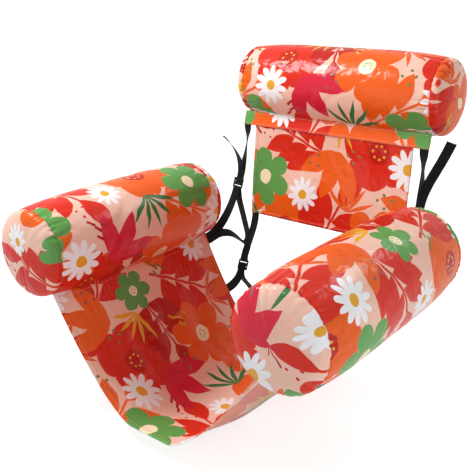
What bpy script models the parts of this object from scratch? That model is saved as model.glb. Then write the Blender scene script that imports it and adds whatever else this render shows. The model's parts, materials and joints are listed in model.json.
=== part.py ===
"""Inflatable pool chair: a fabric sling seat between two air rolls, with a third roll and a hanging
panel as its back, tied to the seat by four straps of webbing with ladder-lock buckles.

Metres, +Z up. The sitter faces -Y, and left and right are the sitter's, so that +X is left. The origin
is on the floor under the middle of the chair's outline.
"""

import math

import bmesh
import bpy
from mathutils import Matrix, Vector

# Driving dimensions: the three air rolls
ARM_RADIUS = 0.117
ARM_LENGTH = 0.630
ARM_SPACING = 0.710
BACK_RADIUS = 0.108
BACK_LENGTH = 0.644
BACK_BEHIND = 0.536  # back roll's axis behind the middle of the arms
BACK_ABOVE = 0.325  # back roll's axis above the arms' axes
END_DOME = 0.036  # how far a roll's domed end stands past its seam
SEAM_DIP = 0.0095  # how far the end seam draws the cloth in
SEAM_RUN = 0.150  # length of roll over which it is drawn in
PLEAT_DEPTH = 0.0022  # depth of the gathers at the end seam

# Driving dimensions: cloth, film and webbing
SLEEVE_WALL = 0.0012
CHAMBER_WALL = 0.0008
CHAMBER_SLACK = 0.0040  # the air chamber is this much smaller than its sleeve round the ends
CLOTH = 0.0020
HEM = 0.0032
HEM_WIDTH = 0.014
WEB_WIDTH = 0.025
WEB = 0.0013
SEWN = 0.022  # length of webbing that is stitched down at a sewn end
GAP = 0.0003  # clearance between touching pieces
SEAM_EDGE = 0.0008  # thickness of a sheet where it is pinched into the seam that a roll turns about
SEAM_REACH = SEAM_EDGE / 2 + GAP  # from that fold line to the roll's sleeve
WELD_SLACK = 0.0040  # the chamber's end wall stands back from the disc by this much round its rim

# Driving dimensions: the sling seat
SLING_INSET = 0.0015  # the sling stops this far short of the sleeves' end seams
SLING_LENGTH = ARM_LENGTH - 2 * END_DOME - 2 * SLING_INSET
SLING_DEPTH = 0.296  # lowest line below the arm seams
FLAT_HALF = 0.055  # half of the strip that lies on the floor
FRONT_RISE = 0.042
FRONT_RUN = 0.220
SLING_FOLD = 0.0035
FRONT_POWER = 1.48  # how full the sides of the U are at the front hem, and at the back hem
BACK_POWER = 1.70
CORNER_POWER = 4  # how closely the lift of the corners keeps to the arm seam
ARM_SEAM_ANGLE = math.radians(60)  # the sling's seam below an arm's axis, towards the sitter

# Driving dimensions: the back panel and the skirt of the back roll
PANEL_HALF = 0.249
PANEL_HEIGHT = 0.262
PANEL_LEAN = 0.018
PANEL_CREASE = 0.0040
STRAP_ROOM = 0.042  # the skirt stands this far past the panel, where an upper strap is sewn to it
SKIRT_HALF = PANEL_HALF + STRAP_ROOM
SKIRT_HEIGHT = 0.038
SKIRT_LEAN = 0.012
LAP = 0.008
SKIRT_ANGLE = math.radians(50)  # below the roll's axis, towards the sitter

# Driving dimensions: ladder-lock buckle
BAR = 0.0040
BAR_PITCH = 0.0100
RAIL = 0.0040
BUCKLE_THICK = 0.0028
LIP_LENGTH = 0.0060
LIP_RISE = 0.0020
BUCKLE_EDGE = 0.0004
BUCKLE_PLAY = 0.0010  # side play of the webbing between the rails
LOOP_SEWN = 0.0120  # how far from bar A a loop's two layers are sewn together

# Driving dimensions: inflation valve and its plug
BORE_RADIUS = 0.0045
STEM_RADIUS = 0.0070
LIP_RADIUS = 0.0110
LIP_THICK = 0.0015
WELD_RADIUS = 0.0140
WELD_THICK = 0.0010
SPIGOT = 0.0060
PLUG_RADIUS = 0.0100
PLUG_THICK = 0.0020
PLUG_LENGTH = 0.0050
PLUG_TAPER = 0.0010
PLUG_HINGE = 0.0125  # hinge line above the valve's axis

# Places of the straps' free parts, from the middle of the arms' axes, as (out, back, up) or, where
# the name says so, (out, back, down). out is away from the chair's middle.
UPPER_BUCKLE = (0.291, 0.420, 0.017)
LOWER_BUCKLE_DOWN = (0.229, 0.372, 0.192)
TAUT_SEAM_DOWN = 0.023  # taut end of the upper loop, down the sling's back edge from the arm seam
SLACK_SEAM_DOWN = 0.029
LOWER_SEAM_OUT = 0.216  # lower webbing's sewn end, out from the middle
STRAP_BELLY = 0.025  # how far behind the skirt's end the upper strap sets out for
TAIL_TIPS = {"right": (0.3285, 0.4005, 0.1715), "left": (0.364, 0.416, 0.238)}
TAIL_BENDS = {"right": (0.2905, 0.4125, 0.1425), "left": (0.330, 0.417, 0.150)}
TAIL_TURNS = {"right": math.radians(-52), "left": math.radians(25)}
LOWER_TAIL_DOWN = (0.211, 0.388, 0.287)
STRAP_TURN = math.radians(-52)  # the upper strap's turn below the skirt
SLACK_LOOP_DOWN = [
    (0.289, 0.427, 0.024),
    (0.286, 0.442, 0.076),
    (0.284, 0.456, 0.124),
    (0.283, 0.464, 0.156),
    (0.284, 0.452, 0.172),
    (0.286, 0.424, 0.150),
    (0.289, 0.384, 0.121),
    (0.293, 0.336, 0.108),
]

SHARP_ANGLE = math.radians(40)  # creases sharper than this are shaded as edges
WRAP_ANGLES = (-75, -340)  # the load strand's turn over bar B, in degrees from +v towards +w
LOOP_ANGLES = (-100, 100)  # a sewn loop's turn round bar A

# Counts
ROUND = 36
CHAMBER_ROUND = 16
VALVE_ROUND = 12
TAB_REACH = 1  # how many of the plug's vertices on each side of its top run up into the tab
SLING_ACROSS = 32
SLING_ALONG = 12
SLING_FOLDS = 5
PANEL_ACROSS = 12
PANEL_DOWN = 10
SKIRT_DOWN = 3
RUN_STEPS = 9
SLACK_STEPS = 2
TAIL_STEPS = 4
WRAP_STEPS = 6
EDGE_STEPS = 400

# Shares of an end disc's seam radius and of its dome, from the seam to the middle
DOME_SHARES = [(1.0, 0.20), (0.93, 0.54), (0.72, 0.84), (0.34, 0.98)]
# Shares of half a sleeve's length at which it has a ring, and of a chamber's
SLEEVE_SHARES = [1.0, 0.93, 0.78, 0.50]
CHAMBER_SHARES = [1.0, 0.78, 0.50]
HALF_CREASE_SHARE = 0.5  # how deep the panel's creases still are at its sides
LEAST_MITRE_SHARE = 0.5
PULL_SHARE = 1 / 3  # a curve's inner pulls, as a share of the way between its ends
TURN_SHARE = 1 / 4  # how soon the upper strap has turned edge-on

# Derived places
SEAM_OUT = ARM_SPACING / 2 - (ARM_RADIUS + SEAM_REACH) * math.cos(ARM_SEAM_ANGLE)
SEAM_Z = CLOTH / 2 + SLING_DEPTH
ARM_Z = SEAM_Z + (ARM_RADIUS + SEAM_REACH) * math.sin(ARM_SEAM_ANGLE)
ARM_Y = -(BACK_BEHIND + BACK_RADIUS - ARM_LENGTH / 2) / 2
MIDDLE = Vector((0, ARM_Y, ARM_Z))
ROLL_AXIS = MIDDLE + Vector((0, BACK_BEHIND, BACK_ABOVE))
SKIRT_REACH = BACK_RADIUS + SEAM_REACH
SKIRT_TOP = ROLL_AXIS - SKIRT_REACH * Vector((0, math.cos(SKIRT_ANGLE), math.sin(SKIRT_ANGLE)))
SIDEWAYS = Vector((1, 0, 0))
BACKWARDS = Vector((0, 1, 0))
UPWARDS = Vector((0, 0, 1))

SIDES = {"left": 1, "right": -1}


def clear_scene():
    for old in list(bpy.data.objects):
        bpy.data.objects.remove(old, do_unlink=True)


def make_material(name, colour, roughness, metallic=0.0):
    material = bpy.data.materials.new(name)
    material.use_nodes = True
    shader = material.node_tree.nodes["Principled BSDF"]
    shader.inputs["Base Color"].default_value = (*colour, 1.0)
    shader.inputs["Roughness"].default_value = roughness
    shader.inputs["Metallic"].default_value = metallic
    material.diffuse_color = (*colour, 1.0)
    return material


def make_object(name, bm, material, carrier):
    """One named sub-part from a bmesh in row coordinates, with its origin on its carrier."""
    bmesh.ops.recalc_face_normals(bm, faces=bm.faces)
    bmesh.ops.translate(bm, verts=bm.verts, vec=-carrier.location)
    mesh = bpy.data.meshes.new(name)
    bm.to_mesh(mesh)
    bm.free()
    mesh.shade_smooth()
    mesh.set_sharp_from_angle(angle=SHARP_ANGLE)
    mesh.materials.append(material)
    part = bpy.data.objects.new(name, mesh)
    part.parent = carrier
    bpy.context.scene.collection.objects.link(part)
    return part


def make_carrier(name, place):
    """An empty on a joint's axis, which carries the pieces that move with it."""
    carrier = bpy.data.objects.new(name, None)
    carrier.empty_display_size = WEB_WIDTH
    carrier.location = place
    bpy.context.scene.collection.objects.link(carrier)
    return carrier


def add_solidify(part, thickness, offset):
    shell = part.modifiers.new("cloth", "SOLIDIFY")
    shell.thickness = thickness
    shell.offset = offset
    shell.use_even_offset = True
    return shell


def smooth(share):
    """Eased step from 0 to 1."""
    share = min(1.0, max(0.0, share))
    return share * share * (3 - 2 * share)


def bridge_rings(bm, rings, closed=True):
    """Quads between neighbouring rings of vertices with the same count."""
    for near, far in zip(rings, rings[1:]):
        count = len(near)
        for i in range(count if closed else count - 1):
            j = (i + 1) % count
            bm.faces.new((near[i], near[j], far[j], far[i]))


def turned(bm, profile, axis, centre, count):
    """Rings of vertices round an axis ("X" or "Y") from (radius, along) pairs. Radius may be a
    function of the vertex's number. A zero radius makes a single vertex."""
    rings = []
    for radius, along in profile:
        ring = []
        if radius == 0:
            ring.append(bm.verts.new(centre + axis_point(axis, 0, 0, along)))
        else:
            for i in range(count):
                angle = math.tau * i / count
                size = radius(i) if callable(radius) else radius
                ring.append(bm.verts.new(centre + axis_point(axis, size, angle, along)))
        rings.append(ring)
    for near, far in zip(rings, rings[1:]):
        if len(near) == 1 or len(far) == 1:
            tip, ring = (near[0], far) if len(near) == 1 else (far[0], near)
            for i in range(count):
                bm.faces.new((tip, ring[i], ring[(i + 1) % count]))
        else:
            bridge_rings(bm, [near, far])
    return rings


def axis_point(axis, radius, angle, along):
    across, up = radius * math.cos(angle), radius * math.sin(angle)
    return Vector((along, across, up)) if axis == "X" else Vector((across, along, up))


def seam_pull(along, half):
    """How far the gathered seam at a roll's end draws the cloth in, from 0 in the belly to 1."""
    return max(0.0, (abs(along) - half + SEAM_RUN) / SEAM_RUN) ** 2


class Roll:
    """An air roll: its sleeve, two end discs, the chamber inside, a valve and a plug."""

    def __init__(self, name, radius, length, axis, centre, valve_end, materials, carrier):
        self.name = name
        self.radius = radius
        self.half = length / 2 - END_DOME
        self.axis = axis
        self.centre = centre
        self.valve_end = valve_end
        self.materials = materials
        self.carrier = carrier

    def seam_radius(self, i):
        """The gathered edge where sleeve and disc are stitched: every second vertex is a pleat."""
        return self.radius - SEAM_DIP - PLEAT_DEPTH * (i % 2)

    def sleeve_radius(self, along):
        """Radius of a ring of the sleeve, with the gathers fading away from the end seam."""
        pull = seam_pull(along, self.half)
        if pull == 0:
            return self.radius
        return lambda i: self.radius - pull * (self.radius - self.seam_radius(i))

    def stations(self, shares):
        """Places of rings along the roll's axis."""
        front = [-share * self.half for share in shares]
        return front + [-along for along in reversed(front)]

    def build_sleeve(self):
        bm = bmesh.new()
        profile = [(self.sleeve_radius(along), along) for along in self.stations(SLEEVE_SHARES)]
        turned(bm, profile, self.axis, self.centre, ROUND)
        sleeve = make_object(f"{self.name}_sleeve", bm, self.materials["print"], self.carrier)
        add_solidify(sleeve, SLEEVE_WALL, -1)

    def build_disc(self, end, label):
        """Domed end cloth, gathered into the seam, with a hole for the valve at the valve end."""
        bm = bmesh.new()
        profile = [(self.seam_radius, end * (self.half + GAP))]
        for radius_share, out_share in DOME_SHARES:
            radius = (self.radius - SEAM_DIP) * radius_share
            profile.append((radius, end * (self.half + END_DOME * out_share)))
        pole = end * (self.half + END_DOME)
        profile.append((STEM_RADIUS + GAP if end == self.valve_end else 0, pole))
        turned(bm, profile, self.axis, self.centre, ROUND)
        disc = make_object(f"{self.name}_{label}_disc", bm, self.materials["print"], self.carrier)
        add_solidify(disc, SLEEVE_WALL, -1)

    def build_chamber(self):
        """Welded film bladder that holds the air, open only at its valve hole."""
        bm = bmesh.new()
        profile = []
        for along in self.stations(CHAMBER_SHARES):
            pull = seam_pull(along, self.half)
            drawn = pull * (SEAM_DIP + PLEAT_DEPTH + CHAMBER_SLACK)
            facet = self.radius * math.cos(math.pi / ROUND)
            profile.append((facet - drawn - SLEEVE_WALL - GAP, along))
        end_wall = END_DOME - SLEEVE_WALL - GAP - WELD_THICK - GAP
        for end in (-1, 1):
            cap = []
            for radius_share, out_share in DOME_SHARES[1:]:
                radius = (self.radius - SEAM_DIP) * radius_share - CHAMBER_SLACK
                cap.append((radius, end * (self.half + end_wall * out_share - WELD_SLACK)))
            cap[-1] = (cap[-1][0], end * (self.half + end_wall))
            hole = STEM_RADIUS + GAP if end == self.valve_end else 0
            cap.append((hole, end * (self.half + end_wall)))
            profile = cap[::-1] + profile if end < 0 else profile + cap
        turned(bm, profile, self.axis, self.centre, CHAMBER_ROUND)
        film = make_object(f"{self.name}_chamber", bm, self.materials["film"], self.carrier)
        add_solidify(film, CHAMBER_WALL, -1)

    def valve_face(self):
        """Where the valve's lip lies: the outer face of the disc at its middle."""
        return self.half + END_DOME

    def build_valve(self):
        weld_top = -(SLEEVE_WALL + GAP)
        weld_bottom = weld_top - WELD_THICK
        bottom = weld_bottom - SPIGOT
        profile = [
            (BORE_RADIUS, bottom),
            (STEM_RADIUS, bottom),
            (STEM_RADIUS, weld_bottom),
            (WELD_RADIUS, weld_bottom),
            (WELD_RADIUS, weld_top),
            (STEM_RADIUS, weld_top),
            (STEM_RADIUS, GAP),
            (LIP_RADIUS, GAP),
            (LIP_RADIUS, GAP + LIP_THICK),
            (BORE_RADIUS, GAP + LIP_THICK),
        ]
        bm = bmesh.new()
        outward = [(r, self.valve_end * (self.valve_face() + a)) for r, a in profile]
        rings = turned(bm, outward, self.axis, self.centre, VALVE_ROUND)
        bridge_rings(bm, [rings[-1], rings[0]])
        make_object(f"{self.name}_valve", bm, self.materials["valve"], self.carrier)

    def plug_hinge(self):
        """Middle of the plug's living hinge, above the valve's lip."""
        along = self.valve_end * (self.valve_face() + 2 * GAP + LIP_THICK)
        return self.centre + axis_point(self.axis, PLUG_HINGE, math.pi / 2, along)

    def build_plug(self, carrier):
        """Push-in plug whose head runs up into a tab that hinges at the lip."""
        head = 2 * GAP + LIP_THICK
        plug_r = BORE_RADIUS - GAP
        profile = [
            (0, head - PLUG_LENGTH),
            (plug_r - PLUG_TAPER, head - PLUG_LENGTH),
            (plug_r, head),
            (PLUG_RADIUS, head),
            (PLUG_RADIUS, head + PLUG_THICK),
            (0, head + PLUG_THICK),
        ]
        bm = bmesh.new()
        outward = [(r, self.valve_end * (self.valve_face() + a)) for r, a in profile]
        rings = turned(bm, outward, self.axis, self.centre, VALVE_ROUND)
        top = VALVE_ROUND // 4
        for ring in rings[3:5]:
            for vert in ring[top - TAB_REACH:top + TAB_REACH + 1]:
                vert.co.z = self.centre.z + PLUG_HINGE
        make_object(f"{self.name}_plug", bm, self.materials["valve"], carrier)


def seam_share(out):
    """How far a place is from the flat strip to the arm seam, from 0 to 1."""
    return min(1.0, max(0.0, (abs(out) - FLAT_HALF) / (SEAM_OUT - FLAT_HALF)))


def sling_point(across, along):
    """Middle of the sling's cloth. across runs from -1 to 1 between the arm seams, and along from
    0 at the front hem to 1 at the back. Its corners follow the arms' drawn-in ends."""
    out = across * SEAM_OUT
    side = seam_share(out)
    y = (along - 0.5) * SLING_LENGTH
    rise = FRONT_RISE * (1 - smooth(along * SLING_LENGTH / FRONT_RUN))
    power = FRONT_POWER + (BACK_POWER - FRONT_POWER) * along
    z = SEAM_Z - ARM_Z - (SLING_DEPTH - rise) * (1 - side**power)
    wave = math.sin(math.tau * SLING_FOLDS * along) * math.sin(math.pi * along)
    fold = SLING_FOLD * math.sin(math.pi * smooth(side)) * wave
    drawn = SEAM_DIP * seam_pull(y, ARM_LENGTH / 2 - END_DOME) * side**CORNER_POWER
    out += math.copysign(1, out) * (drawn * math.cos(ARM_SEAM_ANGLE) - fold)
    return MIDDLE + Vector((out, y, z + drawn * math.sin(ARM_SEAM_ANGLE)))


def thick_sheet(name, point, across_count, along_count, material, carrier, thickness):
    """A sheet of cloth from a function of two shares. Its thickness is a function of a vertex's
    column and row."""
    bm = bmesh.new()
    rows = []
    for j in range(along_count + 1):
        row = [point(i / across_count, j / along_count) for i in range(across_count + 1)]
        rows.append([bm.verts.new(place) for place in row])
    bridge_rings(bm, rows, closed=False)
    sheet = make_object(name, bm, material, carrier)
    shell = add_solidify(sheet, HEM, 0)
    group = sheet.vertex_groups.new(name="thickness")
    shell.vertex_group = group.name
    columns = across_count + 1
    for number in range(len(sheet.data.vertices)):
        share = thickness(number % columns, number // columns) / HEM
        group.add([number], share, "REPLACE")


def build_sling(materials, carrier):
    """Rows crowd at both hems, so that each hem is a narrow thick band. The hems thicken upwards,
    which leaves the underside flat where it rests."""
    hem = HEM_WIDTH / SLING_LENGTH
    inner = SLING_ALONG - 4
    step = (1 - 4 * hem) / inner
    shares = [0.0, hem, *(2 * hem + step * i for i in range(inner + 1)), 1 - hem, 1.0]
    hem_rows = (0, 1, SLING_ALONG - 1, SLING_ALONG)

    def point(i_share, j_share):
        row = round(j_share * SLING_ALONG)
        lift = (HEM - CLOTH) / 2 if row in hem_rows else 0.0
        return sling_point(2 * i_share - 1, shares[row]) + UPWARDS * lift

    def thickness(column, row):
        if column in (0, SLING_ACROSS):
            return SEAM_EDGE
        return HEM if row in hem_rows else CLOTH

    thick_sheet("seat_sling", point, SLING_ACROSS, SLING_ALONG, materials["print"], carrier, thickness)


def skirt_point(out, down):
    """Middle of the skirt's cloth, from the roll's seam at down 0 to its lower edge at 1."""
    return SKIRT_TOP + Vector((out, -SKIRT_LEAN * down, -SKIRT_HEIGHT * down))


def panel_point(out, down):
    """Middle of the panel's cloth: lapped flat behind the skirt, then creased across and leaning
    forward as it hangs."""
    skirt_run = Vector((0, -SKIRT_LEAN, -SKIRT_HEIGHT)).normalized()
    behind = Vector((0, SKIRT_HEIGHT, -SKIRT_LEAN)).normalized() * (CLOTH + GAP)
    lap_end = skirt_point(out, 1) + behind
    if down <= 0:
        return lap_end - skirt_run * LAP
    crease = PANEL_CREASE * math.sin(math.tau * down) * (1 - HALF_CREASE_SHARE * (out / PANEL_HALF) ** 2)
    return lap_end + Vector((0, -PANEL_LEAN * down + crease, -PANEL_HEIGHT * down))


def build_skirt(materials, carrier):
    def point(i_share, j_share):
        return skirt_point((2 * i_share - 1) * SKIRT_HALF, j_share)

    def thickness(column, row):
        return SEAM_EDGE if row == 0 else CLOTH

    thick_sheet("back_roll_skirt", point, PANEL_ACROSS, SKIRT_DOWN, materials["print"], carrier, thickness)


def build_panel(materials, carrier):
    def point(i_share, j_share):
        down = (j_share * PANEL_DOWN - 1) / (PANEL_DOWN - 1)
        return panel_point((2 * i_share - 1) * PANEL_HALF, down)

    def thickness(column, row):
        return CLOTH

    thick_sheet("back_panel", point, PANEL_ACROSS, PANEL_DOWN, materials["print"], carrier, thickness)


def bezier(start, start_pull, end_pull, end, steps):
    """Points of a cubic curve between two places, without its two ends."""
    points = []
    for i in range(1, steps):
        t = i / steps
        s = 1 - t
        points.append(s**3 * start + 3 * s * s * t * start_pull + 3 * s * t * t * end_pull + t**3 * end)
    return points


def run_between(start, leaving, arriving, end, steps=RUN_STEPS):
    """Inner points of a curve that leaves one place and arrives at another along two directions."""
    pull = (end - start).length * PULL_SHARE
    return bezier(start, start + leaving * pull, end - arriving * pull, end, steps)


def smooth_run(points, steps):
    """A smooth curve through hand-chosen points (Catmull-Rom), without the first point."""
    padded = [2 * points[0] - points[1], *points, 2 * points[-1] - points[-2]]
    run = []
    for a, b, c, d in zip(padded, padded[1:], padded[2:], padded[3:]):
        for i in range(1, steps + 1):
            t = i / steps
            bend = (2 * a - 5 * b + 4 * c - d) * t**2 + (3 * b - a - 3 * c + d) * t**3
            run.append((2 * b + (c - a) * t + bend) / 2)
    return run


def ribbon(name, stations, material, carrier):
    """Flat webbing along (place, direction across) stations, WEB thick and WEB_WIDTH wide. Both
    faces are split along the same diagonal, or they would cross each other where it twists."""
    bm = bmesh.new()
    rings = []
    places = [place for place, _ in stations]
    for i, (place, across) in enumerate(stations):
        before = (place - places[i - 1]).normalized() if i else None
        after = (places[i + 1] - place).normalized() if i + 1 < len(places) else None
        along = ((before or after) + (after or before)).normalized()
        across = (across - across.dot(along) * along).normalized()
        mitre = 1 / max(LEAST_MITRE_SHARE, along.dot(after or before))
        side = across * WEB_WIDTH / 2
        face = along.cross(across) * (WEB / 2 * mitre)
        corners = (side + face, -side + face, -side - face, side - face)
        rings.append([bm.verts.new(place + corner) for corner in corners])
    for near, far in zip(rings, rings[1:]):
        for i, j in ((1, 2), (3, 0)):
            bm.faces.new((near[i], near[j], far[j], far[i]))
        for left, right in ((0, 1), (3, 2)):
            bm.faces.new((near[left], near[right], far[right]))
            bm.faces.new((near[left], far[right], far[left]))
    bm.faces.new(rings[0])
    bm.faces.new(list(reversed(rings[-1])))
    return make_object(name, bm, material, carrier)


class Buckle:
    """A ladder lock in its own frame: v runs from bar A, which a sewn loop holds, to bar C and the
    thumb lip, and w is its front. The load strand passes behind C and B, comes up between A and B,
    turns over B and leaves as the tail between C and itself."""

    def __init__(self, place, v_axis, across):
        self.place = place
        self.v = v_axis.normalized()
        self.u = (across - across.dot(self.v) * self.v).normalized()
        self.w = self.u.cross(self.v)

    def at(self, v, w, u=0.0):
        return self.place + self.u * u + self.v * v + self.w * w

    def wrap(self, bar_v, start, end):
        """Webbing's middle round a bar, by angles in degrees from +v towards +w."""
        corner = math.hypot(BAR / 2, BUCKLE_THICK / 2 - BUCKLE_EDGE)
        half_step = math.radians(abs(end - start)) / WRAP_STEPS / 2
        reach = (corner + GAP) / math.cos(half_step) + WEB / 2
        points = []
        for i in range(WRAP_STEPS + 1):
            angle = math.radians(start + (end - start) * i / WRAP_STEPS)
            points.append(self.at(bar_v + reach * math.cos(angle), reach * math.sin(angle)))
        return points

    def threaded(self):
        """The webbing's middle through the lock, from the load strand to the tail."""
        first = BUCKLE_THICK / 2 + GAP + WEB / 2
        second = first + WEB + GAP
        bar_b = BAR_PITCH
        bar_c = 2 * BAR_PITCH
        load = [
            self.at(bar_c + LIP_LENGTH + BAR, -second),
            self.at(bar_c, -second),
            self.at(bar_b + BAR + WEB, -second),
        ]
        turn = self.wrap(bar_b, *WRAP_ANGLES)
        tail = [
            self.at(bar_c - BAR / 2 - GAP, -first),
            self.at(bar_c + BAR / 2, -first),
            self.at(bar_c + LIP_LENGTH + BAR, -first),
        ]
        return load + turn + tail

    def looped(self):
        """A sewn loop's middle round bar A, from behind to the front."""
        return self.wrap(0.0, *LOOP_ANGLES)

    def build(self, name, material, carrier):
        """The frame: two rails and three bars as one plate with two slots, and a raised lip."""
        inner = WEB_WIDTH / 2 + BUCKLE_PLAY
        columns = [-inner - RAIL, -inner, inner, inner + RAIL]
        rows = [-BAR / 2, BAR / 2]
        for bar in (1, 2):
            rows += [bar * BAR_PITCH - BAR / 2, bar * BAR_PITCH + BAR / 2]
        rows.append(2 * BAR_PITCH + BAR / 2 + LIP_LENGTH)
        slots = {(1, 1), (1, 3)}
        bm = bmesh.new()
        grid = [[bm.verts.new((column, row, 0)) for column in columns] for row in rows]
        for r in range(len(rows) - 1):
            for c in range(len(columns) - 1):
                if (c, r) not in slots:
                    bm.faces.new((grid[r][c], grid[r][c + 1], grid[r + 1][c + 1], grid[r + 1][c]))
        solid = bmesh.ops.extrude_face_region(bm, geom=bm.faces[:])
        lifted = [item for item in solid["geom"] if isinstance(item, bmesh.types.BMVert)]
        bmesh.ops.translate(bm, verts=lifted, vec=(0, 0, BUCKLE_THICK))
        for vert in bm.verts:
            vert.co.z -= BUCKLE_THICK / 2
            if vert.co.y > rows[-2] + GAP:
                vert.co.z += LIP_RISE
        axes = Matrix((self.u, self.v, self.w)).transposed().to_4x4()
        bmesh.ops.transform(bm, matrix=Matrix.Translation(self.place) @ axes, verts=bm.verts)
        part = make_object(name, bm, material, carrier)
        edge = part.modifiers.new("edge", "BEVEL")
        edge.width = BUCKLE_EDGE
        edge.segments = 1
        edge.limit_method = "ANGLE"
        return part


def sewn_on_sling(side, out, layer=0):
    """A strap's sewn end under the sling's back hem, at a distance out from the middle: the two
    places between which it is stitched down, and the direction along the cloth's edge. A second
    layer lies over a first one."""
    across = side * out / SEAM_OUT
    beside = side * (out - WEB_WIDTH / 2) / SEAM_OUT
    depth = HEM / 2 + GAP + WEB / 2 + layer * (WEB + GAP)
    places = []
    for along in (1 - SEWN / SLING_LENGTH, 1.0):
        here = sling_point(across, along)
        edge = (here - sling_point(beside, along)).normalized()
        normal = side * edge.cross(BACKWARDS).normalized()
        places.append(here - normal * depth if normal.z > 0 else here + normal * depth)
    return places, edge


def out_at_drop(drop):
    """How far out the sling's back edge is, at a drop measured down it from the arm seam."""
    travelled = 0.0
    place = sling_point(1, 1)
    for i in range(1, EDGE_STEPS):
        step = sling_point(1 - i / EDGE_STEPS, 1)
        travelled += (step - place).length
        place = step
        if travelled >= drop:
            return place.x - MIDDLE.x
    return 0.0


def place_out(side, out, back, up):
    return MIDDLE + Vector((side * out, back, up))


def place_down(side, out, back, down):
    return place_out(side, out, back, -down)


def flat(points, across):
    return [(point, across) for point in points]


def turning(points, start, end):
    """Stations along points whose width turns evenly from one direction to another."""
    count = len(points) + 1
    return [(p, start.lerp(end, smooth((i + 1) / count)).normalized()) for i, p in enumerate(points)]


def upper_buckle(side):
    low = place_out(side, *UPPER_BUCKLE)
    high = skirt_point(side * (SKIRT_HALF - WEB_WIDTH / 2), 1) + BACKWARDS * STRAP_BELLY
    return Buckle(low, high - low, SIDEWAYS)


def lower_buckle(side):
    place = place_down(side, *LOWER_BUCKLE_DOWN)
    top = panel_point(side * (PANEL_HALF - WEB_WIDTH / 2), 1)
    return Buckle(place, place - top, SIDEWAYS)


def build_upper_strap(label, side, materials, carrier):
    """From its seam behind the skirt's end, down to the buckle, and out again as a stiff tail."""
    lock = upper_buckle(side)
    behind = Vector((0, SKIRT_HEIGHT, -SKIRT_LEAN)).normalized() * (CLOTH / 2 + GAP + WEB / 2)
    out = side * (SKIRT_HALF - WEB_WIDTH / 2)
    seam_top = skirt_point(out, 1 - SEWN / SKIRT_HEIGHT) + behind
    seam_end = skirt_point(out, 1) + behind
    threaded = lock.threaded()
    run = run_between(seam_end, -UPWARDS, -lock.v, threaded[0])
    edge_on = Vector((math.cos(STRAP_TURN), math.sin(STRAP_TURN), 0))
    soon = int(len(run) * TURN_SHARE)
    stations = flat([seam_top, seam_end], SIDEWAYS)
    stations += turning(run[:soon], SIDEWAYS, edge_on)
    stations += turning(run[soon:], edge_on, lock.u)
    stations += flat(threaded, lock.u)
    tip = place_out(side, *TAIL_TIPS[label])
    bend = place_out(side, *TAIL_BENDS[label])
    pull = (tip - threaded[-1]).length * PULL_SHARE
    tail = bezier(threaded[-1], threaded[-1] + lock.v * pull, bend, tip, RUN_STEPS)
    turned_out = Vector((math.cos(TAIL_TURNS[label]), math.sin(TAIL_TURNS[label]), 0))
    stations += turning([*tail, tip], lock.u, turned_out)
    ribbon(f"{label}_upper_strap", stations, materials["webbing"], carrier)
    lock.build(f"{label}_upper_buckle", materials["buckle"], carrier)


def build_upper_loop(label, side, materials, carrier):
    """The loop through the upper buckle, taut on one side and slack on the other. Its ends are
    sewn one over the other under the sling's corner."""
    lock = upper_buckle(side)
    across = lock.u * side
    start, start_edge = sewn_on_sling(side, out_at_drop(TAUT_SEAM_DOWN))
    finish, finish_edge = sewn_on_sling(side, out_at_drop(SLACK_SEAM_DOWN), layer=1)
    looped = lock.looped()[::-1]
    taut = run_between(start[1], BACKWARDS, lock.v, looped[0])
    slack = [looped[-1]] + [place_down(side, *place) for place in SLACK_LOOP_DOWN]
    slack = smooth_run(slack + [finish[1] + BACKWARDS * HEM_WIDTH], SLACK_STEPS)
    stations = flat(start, start_edge)
    stations += turning(taut, start_edge, across)
    stations += flat(looped, across)
    stations += turning(slack, across, finish_edge)
    stations += flat(finish[::-1], finish_edge)
    ribbon(f"{label}_upper_loop", stations, materials["webbing"], carrier)


def build_lower_strap(label, side, materials, carrier):
    """From its seam behind the panel's corner, round bar A of the lower buckle and sewn back."""
    lock = lower_buckle(side)
    behind = Vector((0, PANEL_HEIGHT, -PANEL_LEAN)).normalized() * (CLOTH / 2 + GAP + WEB / 2)
    out = side * (PANEL_HALF - WEB_WIDTH / 2)
    seam_top = panel_point(out, 1 - SEWN / PANEL_HEIGHT) + behind
    seam_end = panel_point(out, 1) + behind
    looped = lock.looped()
    first = looped[0] - lock.v * LOOP_SEWN
    run = run_between(seam_end, (seam_end - seam_top).normalized(), lock.v, first)
    returned = [point + lock.w * (WEB + GAP) for point in (first, run[-1], run[-2])]
    stations = flat([seam_top, seam_end], SIDEWAYS)
    stations += flat([*run, first, *looped, *returned], lock.u)
    ribbon(f"{label}_lower_strap", stations, materials["webbing"], carrier)
    lock.build(f"{label}_lower_buckle", materials["buckle"], carrier)


def build_lower_webbing(label, side, materials, carrier):
    """From its seam under the sling's back hem, up through the lower buckle, to a hanging tail."""
    lock = lower_buckle(side)
    sewn, edge = sewn_on_sling(side, LOWER_SEAM_OUT)
    edge = edge if edge.x > 0 else -edge
    threaded = lock.threaded()
    run = run_between(sewn[1], BACKWARDS, -lock.v, threaded[0])
    tip = place_down(side, *LOWER_TAIL_DOWN)
    tail = run_between(threaded[-1], lock.v, (tip - threaded[-1]).normalized(), tip, TAIL_STEPS)
    stations = flat(sewn, edge)
    stations += turning(run, edge, lock.u)
    stations += flat([*threaded, *tail, tip], lock.u)
    ribbon(f"{label}_lower_webbing", stations, materials["webbing"], carrier)


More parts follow.
